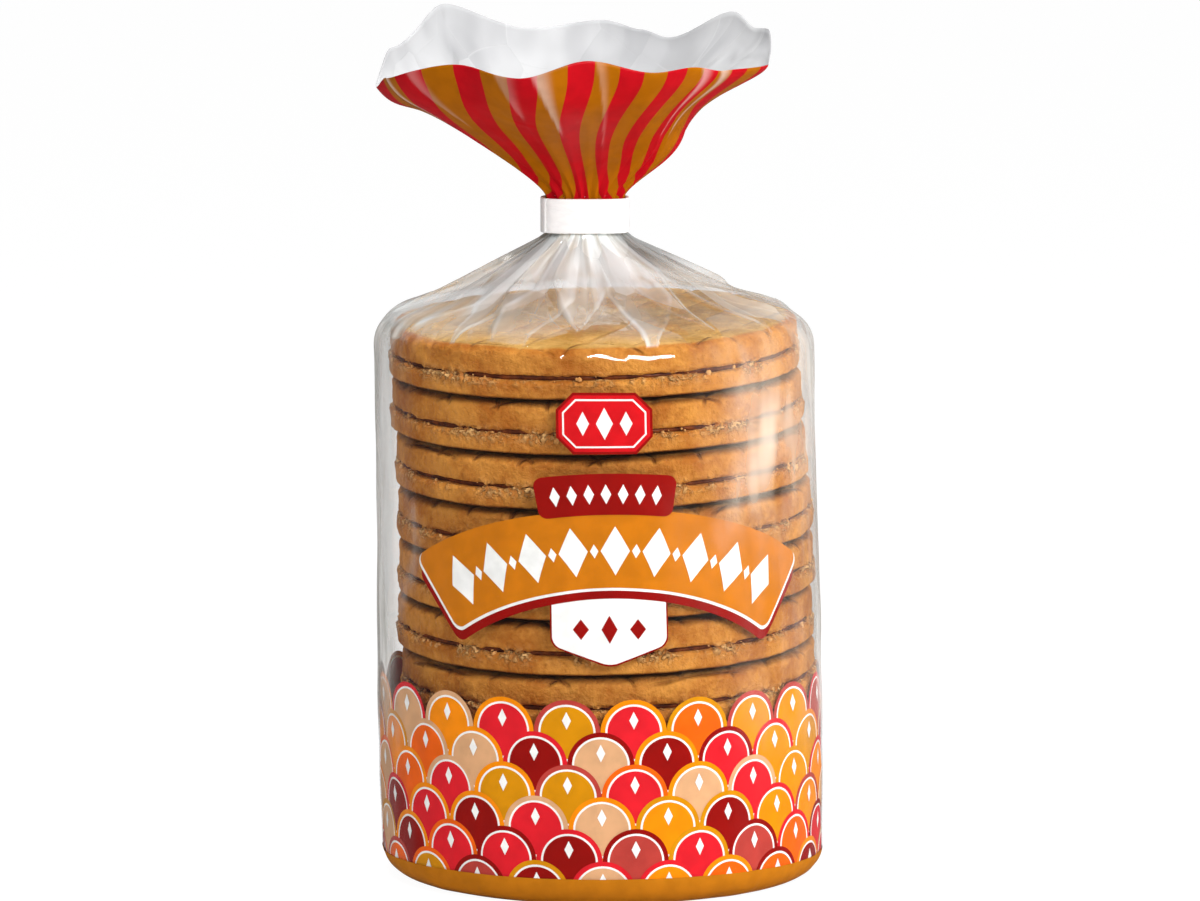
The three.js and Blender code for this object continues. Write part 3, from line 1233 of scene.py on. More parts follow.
def frill_folds(angle, flare):
    """How far gathers at the neck, creases and flutes towards the rim move the frill out"""
    wander = GATHER_WANDER * math.sin(GATHER_WANDERS * angle)
    ridge = 1 - 2 * abs((angle * GATHERS / TURN + wander) % 1 - 0.5)
    gathers = GATHER_DEPTH * (2 * ridge - 1) * (1 - flare) ** FOLD_POWER
    swell = arch(clamp(CREASE_SWELL_START + CREASE_SWELL_PACE * flare))
    creases = 0.0
    for crease in CREASES:
        off = abs(wrap(angle - crease.angle - CREASE_SLANT * flare)) / crease.width
        creases += crease.height * swell * max(1 - off, 0) ** FOLD_POWER
    return gathers + creases + flare * FLUTE_DEPTH * wave(FLUTE_WAVES, angle)


def fold_gleam(angle, flare):
    """How pale painted highlight, partly fold whitening, makes the frill along one side of its creases"""
    pale = 0.0
    for crease in CREASES:
        reach = (flare - crease.tip) / (1 - crease.tip)
        if reach <= 0:
            continue
        width = crease.width * (GLEAM_TIP_WIDTH + (1 - GLEAM_TIP_WIDTH) * reach)
        off = wrap(angle - crease.angle - CREASE_SLANT * flare) / width
        across = ease(off, *GLEAM_NEAR_LIMITS) * ease(1 - off, *GLEAM_FAR_LIMITS)
        pale = max(pale, across * ease(reach, *GLEAM_TIP_LIMITS) * crease.fold_gleam)
    return pale


def shoulder_lift(angle, radius):
    """How far pleats lift the shoulder's film, less what it settles between them"""
    along = along_shoulder(radius)
    taut = TAUT_LEFT * ease(-math.sin(angle), *TAUT_LIMITS)
    settled = PLEAT_SETTLE * arch(along) ** ARCH_POWER * ease(along, *SETTLE_LIMITS) * (1 - taut)
    return pleat_relief(angle, along)[0] - settled


def frill_shape(angle, radius, flare):
    """How far folds, a corner, a hollow and a lip move the frill's film out and up"""
    right = clamp(math.sin(angle))
    from_side = abs(abs(wrap(angle)) - math.pi / 2)
    corner = hump(wrap(angle - FRILL_CORNER_ANGLE), FRILL_CORNER_SPREAD)
    hollow = arch(clamp((flare - FRILL_HOLLOW_FROM) / (1 - FRILL_HOLLOW_FROM))) ** 2
    out = frill_folds(angle, flare) + FRILL_CORNER * corner * flare**2
    out += THROAT_BULGE * arch(clamp(flare * THROAT_BULGE_PACE)) * right
    out -= SIDE_FOLD_DEPTH * radius * max(1 - from_side / SIDE_FOLD_HALF_WIDTH, 0) * (1 - flare) ** 2
    out -= FRILL_HOLLOW * hollow * radius * right**FRILL_HOLLOW_POWER
    lip = hump(wrap(angle - LIP_ANGLE), LIP_SPREAD) * hump(flare - LIP_FLARE, LIP_REACH)
    return out, flare**RIM_GRIP * rim_rise(angle) - LIP_DROP * lip


def film_point(angle, radius, height):
    """Where a point of the round bag lies on the film"""
    tent = ease(height, SHOULDER_START, BAND_BOTTOM)
    flare = flare_at(height)
    out, up = pucker(angle, height)
    out += slack(angle, height) * (1 - tent)
    if SHOULDER_START < height < BAND_BOTTOM:
        lift = shoulder_lift(angle, radius)
        out += PLEAT_OUT * lift
        up += PLEAT_UP * lift
    if flare > 0:
        frill_out, frill_up = frill_shape(angle, radius, flare)
        out += frill_out
        up += frill_up
    flatness = 1 - (1 - NECK_FLATNESS) * ease(tent, *NECK_FLATTENS) * (1 - ease(flare, *FRILL_ROUNDS))
    x = (radius + out) * math.sin(angle)
    y = -(radius + out) * math.cos(angle) * flatness
    aside = lean_at(height) + NECK_SHIFT * tent + FRILL_SHIFT * flare
    return Vector((x + aside, y, height + up))


def shoulder_profile():
    edge = (SHOULDER_EDGE_RADIUS, SHOULDER_EDGE_HEIGHT)
    brow = [(BODY_RADIUS, SHOULDER_START), (BODY_RADIUS, SHOULDER_EDGE_HEIGHT - SHOULDER_EDGE_PULL), edge]
    sag = (SHOULDER_SAG_RADIUS, BAND_BOTTOM - SHOULDER_SAG_DROP)
    tent = [edge, sag, (NECK_RADIUS, BAND_BOTTOM - GAP)]
    return bend(brow, BROW_RINGS) + bend(tent, TENT_RINGS)


def reflection_veil_at(angle, height):
    """How much of the pale veils, partly milk and partly painted reflection of the side lights, lies on the
    body's film
    """
    turn = math.degrees(wrap(angle))
    above = ease(height, *VEIL_LIMITS)
    reflection_veil = 0.0
    for middle, spread, strength, least in REFLECTION_VEILS:
        off = turn - middle - VEIL_WANDER * rough((height, 0, middle), VEIL_WANDER_SIZE)
        spot = (turn / VEIL_PATCH_TURN, height / VEIL_PATCH_HEIGHT, middle)
        patchy = max(VEIL_PATCH_MEAN + VEIL_PATCH_CHANGE * rough(spot, 1), 0)
        reflection_veil += strength * patchy * hump(off, spread) * (least + (1 - least) * above)
    return reflection_veil


def drape_at(turn, along):
    """How much of the slack fold that hangs over the stack's left edge lies at a place on the shoulder"""
    return ease(turn, *DRAPE_TURN_START) * (1 - ease(turn, *DRAPE_TURN_END)) * ease(along, *DRAPE_START)


def film_haze(angle, radius, height):
    """How milky the film is: clear in front, more at the loose sides and towards the neck, most in pleats,
    with painted reflection in the veils down the body
    """
    along = along_shoulder(radius)
    aside = abs(math.sin(angle))
    turn = math.degrees(wrap(angle))
    _, milk, crease = pleat_relief(angle, along)
    body = (LOOSE_HAZE * ease(aside, *LOOSE_LIMITS) + reflection_veil_at(angle, height)) * (1 - ease(along, *BODY_END))
    corner = CORNER_HAZE_RIGHT if turn > 0 else CORNER_HAZE_LEFT
    corner *= ease(aside, *CORNER_ASIDE) * ease(along, *CORNER_START) * (1 - ease(along, *CORNER_END))
    front = FRONT_HAZE * hump(turn, FRONT_SPREAD) * ease(along, *FRONT_START)
    draped = DRAPE_HAZE * drape_at(turn, along)
    tent = TENT_HAZE * ease(along, *TENT_START) + NECK_HAZE * ease(along, *NECK_START) + front + draped
    clearer = 1 - CLEAR_RIGHT * ease(math.sin(angle), *CLEAR_RIGHT_LIMITS)
    folds = FOLD_HAZE * min(milk, FOLD_MOST_MILK) * clearer + FOLD_CREASE_HAZE * crease
    over_print = PRINT_HAZE_SHARE + (1 - PRINT_HAZE_SHARE) * ease(height, *PRINT_FADE)
    return (body + corner + tent + folds) * over_print


def film_shade(angle, along):
    """How dark the film's milk is: most at the sides of the neck, and some in the drape"""
    cone = ease(along, *CONE_START) * ease(abs(math.sin(angle)), *CONE_ASIDE)
    return max(cone, DRAPE_SHADE * drape_at(math.degrees(wrap(angle)), along))


def mark_film(bm):
    """Moves a turned mesh onto the film, and gives its points their milk and their place along the folds"""
    names = ("haze", "edge_milk", "pleated", "shaded", "reflection_veiled")
    haze, edge_milk, pleated, shaded, reflection_veiled = new_marks(bm, *names)
    flow = bm.verts.layers.float_vector.new("flow")
    for vert in bm.verts:
        angle, radius, height = round_place(vert)
        along = along_shoulder(radius)
        warmth = clamp(reflection_veil_at(angle, height) / VEIL_WARMED)
        vert[haze] = film_haze(angle, radius, height)
        vert[edge_milk] = EDGE_MILK_LEAST + EDGE_MILK_MORE * ease(height, *PRINT_FADE)
        vert[pleated] = ease(along, *PLEATED_LIMITS)
        vert[shaded] = film_shade(angle, along)
        # Warm tint where the veils' painted reflection lies
        vert[reflection_veiled] = warmth * ease(math.sin(angle), *VEIL_WARM_LIMITS)
        vert[flow] = (math.sin(angle), math.cos(angle), (height + BODY_RADIUS - radius) / FLOW_LENGTH)
        vert.co = film_point(angle, radius, height)


def make_film(material):
    """The clear film of the body, shoulder and neck"""
    brow = (BODY_RADIUS, SHOULDER_START)
    foot = arc(BODY_RADIUS - BASE_CORNER, BASE_CORNER, BASE_CORNER, FILM_START, 0, steps=6)
    side = line(foot[-1], brow, FILM_RINGS)
    neck = [(NECK_RADIUS, BAND_BOTTOM + GAP), (NECK_RADIUS, BAND_MIDDLE)]
    bm = turned([*foot, *side, brow, *shoulder_profile(), *neck], FILM_STEPS)
    mark_film(bm)
    finish(bm, "film", "film", material)


def make_back_seam(material):
    """The fin where the film is sealed to itself, down the middle of the back from the neck"""
    foot = (BODY_RADIUS, BASE_STRIP_TOP)
    path = [foot, *line(foot, (BODY_RADIUS, SHOULDER_START), SEAM_RINGS), *shoulder_profile()]
    last = len(path) - 1
    bm = bmesh.new()
    bmesh.ops.create_grid(bm, x_segments=SEAM_ACROSS, y_segments=last, size=1)
    haze, edge_milk = new_marks(bm, "haze", "edge_milk")
    flow = bm.verts.layers.float_vector.new("flow")
    for vert in bm.verts:
        radius, height = path[round((vert.co.y + 1) / 2 * last)]
        angle = math.pi + vert.co.x * SEAM_HALF_WIDTH / BODY_RADIUS
        lift = LAYER_LIFT + SEAM_LIFT * ease(vert.co.x, -1, 1)
        vert[haze] = SEAM_HAZE
        vert[edge_milk] = SEAM_EDGE_MILK
        vert[flow] = (math.sin(angle), math.cos(angle), height / FLOW_LENGTH)
        vert.co = film_point(angle, radius + lift, height)
    bmesh.ops.recalc_face_normals(bm, faces=bm.faces)
    finish(bm, "back_seam", "film", material)


def frill_profile():
    start = (NECK_RADIUS, BAND_TOP + GAP)
    lower = (start[0] + THROAT_PULL_OUT, start[1] + THROAT_PULL_UP)
    upper = (FRILL_RADIUS - RIM_CURL, RIM_HEIGHT - RIM_PULL)
    curve = bend([start, lower, upper, (FRILL_RADIUS, RIM_HEIGHT)], FRILL_RINGS)
    return [(NECK_RADIUS, BAND_MIDDLE), start, *curve]


def across_frill(angle):
    """How far across the frill an angle is, from -1 at its left to 1 at its right"""
    return math.asin(clamp(math.sin(angle), -1, 1)) / (math.pi / 2)


def stripe_measure(angle, flare):
    """Pairs of stripes counted across the frill's front, fewer at the neck, and mirrored on its back"""
    spread = 1 - (1 - clamp(flare / PAIRS_SPREAD_BY)) ** 2
    across = across_frill(angle)
    bow = arch(clamp(flare * STRIPE_BOW_PACE)) ** 2
    across *= 1 - STRIPE_HOLLOW * bow * ease(across, *STRIPE_HOLLOW_LIMITS)
    pairs = NECK_PAIRS + (RIM_PAIRS - NECK_PAIRS) * spread
    wider = 1 - STRIPE_RIGHT_WIDER * ease(across, *STRIPE_RIGHT_LIMITS)
    widening = 1 + STRIPE_WIDENING * across * wider
    return STRIPE_START - STRIPE_DRIFT * flare + STRIPE_BOW * bow + pairs * across * widening


def make_frill(outside, lining):
    """The flared film above the tape, printed outside and white inside"""
    bm = turned(frill_profile(), FRILL_STEPS)
    stripe, fold_gleamed = new_marks(bm, "stripe", "fold_gleamed")
    flow = bm.verts.layers.float_vector.new("flow")
    for vert in bm.verts:
        angle, radius, height = round_place(vert)
        flare = flare_at(height)
        vert[stripe] = stripe_measure(angle, flare)
        vert[fold_gleamed] = fold_gleam(angle, flare)
        vert[flow] = (math.sin(angle), math.cos(angle), flare / 2)
        vert.co = film_point(angle, radius, height)
    bmesh.ops.recalc_face_normals(bm, faces=bm.faces)
    piece = finish(bm, "frill", "print", outside, lining)
    wall = piece.modifiers.new("film", "SOLIDIFY")
    wall.thickness = FRILL_FILM * MM
    wall.offset = -1
    wall.material_offset = 1
    wall.material_offset_rim = 1


def make_throat(lining):
    """The film crushed together inside the neck, which closes the foot of the frill"""
    curve = bend([THROAT_TOP, THROAT_SHOULDER, THROAT_FOOT], steps=12)
    bm = turned([THROAT_TOP, *curve], THROAT_STEPS)
    for vert in bm.verts:
        angle, radius, height = round_place(vert)
        folds = math.sin(CRUSH_FOLDS * angle + CRUSH_WANDER * math.sin(2 * angle))
        middle = film_point(angle, 0, BAND_TOP)
        vert.co = Vector((
            middle.x + radius * THROAT_FIT * math.sin(angle),
            -radius * THROAT_FIT * NECK_FLATNESS * math.cos(angle),
            height + CRUSH_DEPTH * folds * ease(radius, *CRUSH_LIMITS),
        ))
    finish(bm, "throat", "print", lining)


# Cookies


def lattice_at(x, y, seed):
    """Two counts of the crossed lines that are scored in a cookie's lid: a line lies at each whole number"""
    wobble = SCORE_WOBBLE * rough((x, y, 0), SCORE_WOBBLE_SIZE, seed)
    reaches = [x * math.cos(way) + y * math.sin(way) for way in SCORE_WAYS]
    return [(reach + wobble) / SCORE_PITCH + seed * SCORE_SHIFT for reach in reaches]


def base_profile():
    outer = COOKIE_RADIUS
    brow_up = BASE_THICK - BASE_BROW_ROUND
    foot = arc(outer - BASE_FOOT_ROUND, BASE_FOOT_ROUND, BASE_FOOT_ROUND, -90, 0, steps=6)
    brow = arc(outer - BASE_BROW_ROUND, brow_up, BASE_BROW_ROUND, 0, SEAM_ROUND_END, steps=8)
    side = line(foot[-1], brow[0], steps=6)
    under = line((0, 0), foot[0], HIDDEN_RINGS)
    inner = line(brow[-1], (0, BASE_THICK), steps=3)
    return [(0, 0), *under, *foot, *side, *brow, *inner, (0, BASE_THICK)]


def lid_profile(rings):
    outer = LID_RADIUS
    foot_up = LID_BOTTOM + LID_FOOT_ROUND
    foot = arc(outer - LID_FOOT_ROUND, foot_up, LID_FOOT_ROUND, -SEAM_ROUND_END, 0, steps=7)
    edge = (outer - LID_SHOULDER_REACH, COOKIE_EDGE_THICK)
    start = (outer, COOKIE_EDGE_THICK - LID_SHOULDER_DROP)
    shoulder = bend([start, (outer, COOKIE_EDGE_THICK - LID_SHOULDER_PULL), edge], steps=16)
    side = line(foot[-1], start, steps=3)
    under = line((0, LID_BOTTOM), foot[0], steps=3)
    dome = bend([edge, (outer * LID_DOME_PULL, COOKIE_THICK), (0, COOKIE_THICK)], rings)
    return [(0, LID_BOTTOM), *under, *foot, *side, start, *shoulder, *dome]


def bake(bm, seed, covered):
    """Gives a turned cookie its uneven outline, bumpy rim, scored lid and torn seam"""
    torn, gap_shade, crown = new_marks(bm, "torn", "gap_shade", "crown")
    lattice = bm.verts.layers.float_vector.new("lattice")
    for vert in bm.verts:
        spot = vert.co.copy()
        height = spot.z
        radius = math.hypot(spot.x, spot.y)
        if radius < TINY:
            continue
        out = Vector((spot.x / radius, spot.y / radius, 0))
        rim = ease(radius, COOKIE_RADIUS - RIM_START, COOKIE_RADIUS - RIM_FULL)
        lumps = RIM_WAVER * rough(out, RIM_WAVER_SIZE, seed) + lumpy(spot, RIM_LUMPS, seed)

        on_base = height < SEAM_MIDDLE
        seam = hump(height - SEAM_MIDDLE, SEAM_SPREAD_DOWN if on_base else SEAM_SPREAD_UP) * rim
        fine_tear = FINE_TEAR_SHARE * rough(spot, FINE_TEAR_SIZE, seed + FINE_TEAR_SEED)
        tear = rough(spot, TEAR_SIZE, seed + TEAR_SEED) + fine_tear
        patch_noise = rough((spot.x, spot.y, 0), TORN_PATCH_SIZE, seed + TORN_PATCH_SEED)
        patch = ease(patch_noise, *TORN_PATCH_LIMITS)
        tearing = clamp(seam * (TORN_LEAST + TORN_BY_PATCH * patch + TORN_BY_TEAR * tear))
        vert[torn] = tearing * (1 if on_base else LID_TORN_SHARE)

        counts = lattice_at(spot.x, spot.y, seed)
        on_lid = ease(height, *ON_LID_LIMITS)
        vert[lattice] = (*counts, on_lid * (1 - SCORE_FADE * ease(radius, *SCORE_FADE_LIMITS)))
        # Painted shade in the gaps between cookies: at a covered lid's top edge and at each base's foot
        top_gap_shade = ease(height, *TOP_GAP_SHADE_LIMITS) if covered else 0
        vert[gap_shade] = max(top_gap_shade, ease(height, *FOOT_GAP_SHADE_LIMITS))
        if height > COOKIE_EDGE_THICK - LID_SHOULDER_DROP:
            vert[crown] = ease(radius, *CROWN_LIMITS)

        nearest = min(abs((count + 0.5) % 1 - 0.5) for count in counts) * SCORE_PITCH
        groove = SCORE_DEPTH * hump(nearest, SCORE_WIDTH) * on_lid
        ragged = seam * tear * (RAGGED_LEAST + RAGGED_BY_PATCH * patch)
        closing = seam * patch * (CLOSING_LEAST + CLOSING_BY_TEAR * tear) * (1 if on_base else -1)
        vert.co += out * (rim * (lumps - groove) + ragged)
        vert.co.z += closing - groove
        vert.co.z += SURFACE_LUMP * rough(spot, SURFACE_LUMP_SIZE, seed + SURFACE_SEED)


def part_way(ends, share):
    """A value part of the way up from the stack's foot to its top"""
    foot, top = ends
    return foot + (top - foot) * share


def stack_place(number):
    """Where a cookie of the stack lies: its own small turn, tilt and shift, on the leaning axis"""
    draw = random.Random(STACK_SEED + number)
    share = number / (COOKIE_COUNT - 1)
    base = STACK_LIFT + COOKIE_PITCH * number
    forward = part_way(FORWARD_TILTS, share) + draw.uniform(-1, 1) * COOKIE_TILT_PLAY
    rising = -COOKIE_TILT + draw.uniform(-1, 1) * COOKIE_TILT_PLAY
    turn = Matrix.Rotation(draw.uniform(0, TURN), 4, "Z")
    lean = Matrix.Rotation(forward, 4, "X") @ Matrix.Rotation(rising, 4, "Y")
    aside = part_way(STACK_ASIDES, share) + STACK_BULGE * arch(share) + lean_at(base)
    shift = Vector((
        aside + draw.uniform(-1, 1) * COOKIE_SIDE_PLAY,
        draw.uniform(-1, 1) * COOKIE_SIDE_PLAY,
        base + part_way(FORWARD_LIFTS, share),
    ))
    spread = part_way(STACK_SPREADS, share) + STACK_SWELL * arch(share)
    return Matrix.Translation(shift) @ lean @ turn @ Matrix.Diagonal((spread, spread, 1, 1))


def make_cookie(number, material):
    """One cookie's base and lid, in one piece"""
    at_top = number == COOKIE_COUNT - 1
    bm = turned(base_profile(), COOKIE_STEPS)
    join(bm, turned(lid_profile(FACE_RINGS if at_top else HIDDEN_RINGS), COOKIE_STEPS))
    bake(bm, COOKIE_SEED_STEP * number, covered=not at_top)
    bmesh.ops.transform(bm, matrix=stack_place(number), verts=bm.verts)
    finish(bm, f"cookie_{number + 1:02d}", "biscuit", material)


def make_syrup(number, material):
    """The syrup that shows between a cookie's base and lid"""
    low, high = BASE_THICK - SYRUP_SINK, LID_BOTTOM + SYRUP_SINK
    start, lip = SYRUP_RADIUS - SYRUP_LIP_IN, SYRUP_RADIUS + SYRUP_LIP_OUT
    edge = bend([(start, low), (lip, low), (lip, high), (start, high)], steps=6)
    bm = turned([(0, low), (start, low), *edge, (0, high)], SYRUP_STEPS)
    for vert in bm.verts:
        if math.hypot(vert.co.x, vert.co.y) > SYRUP_RADIUS - OOZE_WIDTH:
            ooze = lumpy(vert.co, OOZE_LUMPS, number)
            vert.co += Vector((vert.co.x, vert.co.y, 0)).normalized() * ooze
    bmesh.ops.transform(bm, matrix=stack_place(number), verts=bm.verts)
    finish(bm, f"syrup_{number + 1:02d}", "syrup", material)


def make_crumbs(material):
    """Loose crumbs that cling in clusters along the seams of all the cookies"""
    draw = random.Random(CRUMB_SEED)
    bm = bmesh.new()
    for number in range(COOKIE_COUNT):
        place = stack_place(number)
        sprinkle = bmesh.new()
        for _ in range(CRUMBS_PER_COOKIE):
            angle = draw.uniform(0, TURN)
            out = COOKIE_RADIUS - draw.uniform(*CRUMB_DEPTHS)
            up = SEAM_MIDDLE + draw.gauss(CRUMB_FALL, CRUMB_SCATTER)
            spot = Vector((out * math.cos(angle), out * math.sin(angle), up))
            cluster = rough((spot.x, spot.y, number), CRUMB_CLUSTER_SIZE, CRUMB_CLUSTER_SEED)
            if cluster < draw.uniform(*CRUMB_CLUSTER_LIMITS):
                continue
            size = CRUMB_LEAST_SIZE + CRUMB_MORE_SIZE * draw.random() ** 2
            flatness = [draw.uniform(*CRUMB_FLATNESS) for _ in range(2)]
            stretch = Matrix.Diagonal((size, size * flatness[0], size * flatness[1], 1))
            turn = Euler([draw.uniform(0, TURN) for _ in range(3)]).to_matrix().to_4x4()
            made = bmesh.ops.create_icosphere(sprinkle, subdivisions=1, radius=1)
            for vert in made["verts"]:
                vert.co *= draw.uniform(*CRUMB_KNOBS)
            matrix = place @ Matrix.Translation(spot) @ turn @ stretch
            bmesh.ops.transform(sprinkle, matrix=matrix, verts=made["verts"])
        join(bm, sprinkle)
    finish(bm, "seam_crumbs", "biscuit", material)


# The print


def slice_flat(bm):
    """Cuts flat shapes into strips, so that they can bend round the pack"""
    for axis, step in ((Vector((1, 0, 0)), SLICE_ACROSS), (Vector((0, 1, 0)), SLICE_UP)):
        places = [vert.co.dot(axis) for vert in bm.verts]
        cut = math.ceil(min(places) / step) * step
        while cut < max(places):
            geom = bm.verts[:] + bm.edges[:] + bm.faces[:]
            bmesh.ops.bisect_plane(bm, geom=geom, dist=1e-5, plane_co=axis * cut, plane_no=axis)
            cut += step


def on_film(bm, lift):
    """Wraps flat shapes, drawn as distances round from the front and heights, onto the body's film"""
    for vert in bm.verts:
        out = body_radius(vert.co.y) + lift + vert.co.z
        vert.co = film_point(vert.co.x / BODY_RADIUS, out, vert.co.y)
    bmesh.ops.recalc_face_normals(bm, faces=bm.faces)


def arched(bm, taper):
    """Bends a flat shape, drawn along the banner's middle line with heights from its centre, over its arc"""
    for vert in bm.verts:
        outward = (vert.co.y - BANNER_INNER) / (BANNER_OUTER - BANNER_INNER)
        angle = vert.co.x / BANNER_MIDDLE * (1 + taper * (2 * outward - 1))
        reach = vert.co.y + BANNER_FLARE * outward * (angle / BANNER_HALF_SPREAD) ** 2
        vert.co.x = EMBLEM_ACROSS + reach * math.sin(angle)
        vert.co.y = BANNER_CENTRE_UP + reach * math.cos(angle)


def flat_piece(bm, name, level, material):
    """A printed shape on one of the layers of ink"""
    slice_flat(bm)
    on_film(bm, PRINT_LIFT + LAYER_LIFT * level)
    finish(bm, name, "print", material)


def arched_piece(bm, name, level, material, taper=0.0):
    """A printed shape that follows the banner's arc"""
    slice_flat(bm)
    arched(bm, taper)
    on_film(bm, PRINT_LIFT + LAYER_LIFT * level)
    finish(bm, name, "print", material)


def rounded_panel(width, low, high, corner, across, steps=6):
    """A flat rectangle with round corners, or with clipped ones where they take one step"""
    bm = bmesh.new()
    left, right = across - width / 2, across + width / 2
    corners = ((left, low), (right, low), (right, high), (left, high))
    face = bm.faces.new([bm.verts.new((x, y, 0)) for x, y in corners])
    bmesh.ops.bevel(
        bm, geom=list(face.verts), offset=corner, affect="VERTICES", segments=steps, profile=0.5, material=-1
    )
    return bm


def lozenge(bm, across, up, half_size, lift=0.0, colour=0):
    """A flat lozenge"""
    matrix = Matrix.Translation((across, up, lift)) @ Matrix.Diagonal((*half_size, 1, 1))
    made = bmesh.ops.create_circle(bm, cap_ends=True, segments=4, radius=1, matrix=matrix)
    made["verts"][0].link_faces[0].material_index = colour


def row_places(count, pitch, middle):
    """Places of a row of things, evenly spaced about its middle"""
    return [middle + (number - (count - 1) / 2) * pitch for number in range(count)]


def make_banner(inks):
    """The arched banner with its white edge and dark shadow, and a row of lozenges along it"""
    for level, (name, ink, wider, lower, higher, corner) in enumerate(BANNER_LAYERS, BANNER_LEVEL):
        low, high = BANNER_INNER - lower, BANNER_OUTER + higher
        bm = rounded_panel(BANNER_WIDTH + wider, low, high, corner, BANNER_ASIDE)
        arched_piece(bm, f"banner_{name}", level, inks[ink], BANNER_TAPER)

    row = bmesh.new()
    pitch = (BANNER_WIDTH - BANNER_MARGIN) / (BANNER_LOZENGES - 1)
    places = row_places(BANNER_LOZENGES, pitch, BANNER_ASIDE)
    for across in places:
        lozenge(row, across, BANNER_ROW_UP, BANNER_LOZENGE)
        if across < places[-1]:
            lozenge(row, across + pitch / 2, BANNER_ROW_UP, BANNER_STUD)
    arched_piece(row, "banner_lozenges", BANNER_LEVEL + len(BANNER_LAYERS), inks["white"])


def make_plate(inks):
    """The small plate above the banner, with a row of lozenges"""
    plate = rounded_panel(PLATE_WIDTH, PLATE_LOW, PLATE_HIGH, PLATE_CORNER, PLATE_ASIDE)
    arched_piece(plate, "plate", PLATE_LEVEL, inks["oxblood"])
    row = bmesh.new()
    for across in row_places(PLATE_LOZENGES, PLATE_PITCH, PLATE_ASIDE):
        lozenge(row, across, (PLATE_LOW + PLATE_HIGH) / 2, PLATE_LOZENGE)
    arched_piece(row, "plate_lozenges", PLATE_LEVEL + 1, inks["white"])


def shield_outline(grow):
    """The shield's flat outline, larger by a margin, which its slanted foot shows as more"""
    half = SHIELD_HALF_WIDTH + grow
    hip = SHIELD_HIP - grow / 2
    tip = SHIELD_TIP - grow * SHIELD_TIP_GROWTH
    corners = ((-half, SHIELD_TOP), (-half, hip), (0, tip), (half, hip), (half, SHIELD_TOP))
    bm = bmesh.new()
    face = bm.faces.new([bm.verts.new((SHIELD_ACROSS + x, y, 0)) for x, y in corners])
    middle = (SHIELD_TOP + SHIELD_HIP) / 2
    low = [vert for vert in face.verts if vert.co.y < middle]
    bmesh.ops.bevel(
        bm, geom=low, offset=SHIELD_CORNER, affect="VERTICES", segments=5, profile=0.5, material=-1
    )
    return bm


def make_shield(inks):
    """The white shield below the banner, with a thin dark edge and three lozenges"""
    flat_piece(shield_outline(SHIELD_EDGE), "shield_edge", 0, inks["oxblood"])
    flat_piece(shield_outline(0), "shield_field", 1, inks["white"])
    row = bmesh.new()
    places = row_places(len(SHIELD_LOZENGE_HEIGHTS), SHIELD_PITCH, SHIELD_ACROSS)
    for across, tall in zip(places, SHIELD_LOZENGE_HEIGHTS):
        lozenge(row, across, SHIELD_ROW_UP, (SHIELD_LOZENGE_WIDTH, tall))
    flat_piece(row, "shield_lozenges", 2, inks["oxblood"])


def make_plaque(inks):
    """The red plaque at the top of the print, with clipped corners, a white line inside and lozenges"""
    for level, (margin, name) in enumerate(PLAQUE_LAYERS):
        half = PLAQUE_HEIGHT / 2 - margin
        width = PLAQUE_WIDTH - 2 * margin
        corner = PLAQUE_CORNER - PLAQUE_CORNER_SHRINK * margin
        bm = rounded_panel(width, PLAQUE_UP - half, PLAQUE_UP + half, corner, PLAQUE_ACROSS, steps=1)
        flat_piece(bm, f"plaque_{level + 1}", level, inks[name])
    row = bmesh.new()
    places = row_places(len(PLAQUE_LOZENGE_SIZES), PLAQUE_PITCH, PLAQUE_ACROSS)
    for across, size in zip(places, PLAQUE_LOZENGE_SIZES):
        lozenge(row, across, PLAQUE_UP, [side * size for side in PLAQUE_LOZENGE])
    flat_piece(row, "plaque_lozenges", len(PLAQUE_LAYERS), inks["white"])


def add_scale(bm, across, up, row, border, field):
    """One scale: a disc with a border, a white line and a lozenge"""
    white = len(SCALE_INKS)
    matrix = Matrix.Translation((across, up, LAYER_LIFT * row))
    made = bmesh.ops.create_circle(
        bm, cap_ends=True, segments=SCALE_SIDES, radius=SCALE_PITCH / 2, matrix=matrix
    )
    face = made["verts"][0].link_faces[0]
    rings = [(SCALE_BORDER, border), (SCALE_LINE, white), *((width, field) for width in SCALE_FIELD_RINGS)]
    for width, colour in rings:
        made = bmesh.ops.inset_individual(bm, faces=[face], thickness=width)
        for ring in made["faces"]:
            ring.material_index = colour
    face.material_index = field
    lozenge(bm, across, up + SCALE_LOZENGE_UP, SCALE_LOZENGE, LAYER_LIFT * (row + 2), white)


def make_scales(inks):
    """Rows of overlapping scales round the foot of the pack"""
    draw = random.Random(SCALE_SEED)
    bm = bmesh.new()
    for row in range(SCALE_ROWS):
        up = BASE_STRIP_TOP + (SCALE_ROWS - SCALE_ROW_SINK - row) * SCALE_ROW_PITCH
        scales = bmesh.new()
        for column in range(SCALE_COLUMNS):
            across = (column + row % 2 / 2 - SCALE_COLUMNS / 2) * SCALE_PITCH
            border, field = draw.sample(range(len(SCALE_INKS)), 2)
            add_scale(scales, across, up, row, border, field)
        join(bm, scales)
    geom = bm.verts[:] + bm.edges[:] + bm.faces[:]
    foot = (0, BASE_STRIP_TOP, 0)
    bmesh.ops.bisect_plane(bm, geom=geom, dist=1e-5, plane_co=foot, plane_no=(0, 1, 0), clear_inner=True)
    on_film(bm, PRINT_LIFT)
    finish(bm, "scales", "print", *[inks[name] for name in SCALE_INKS], inks["white"])


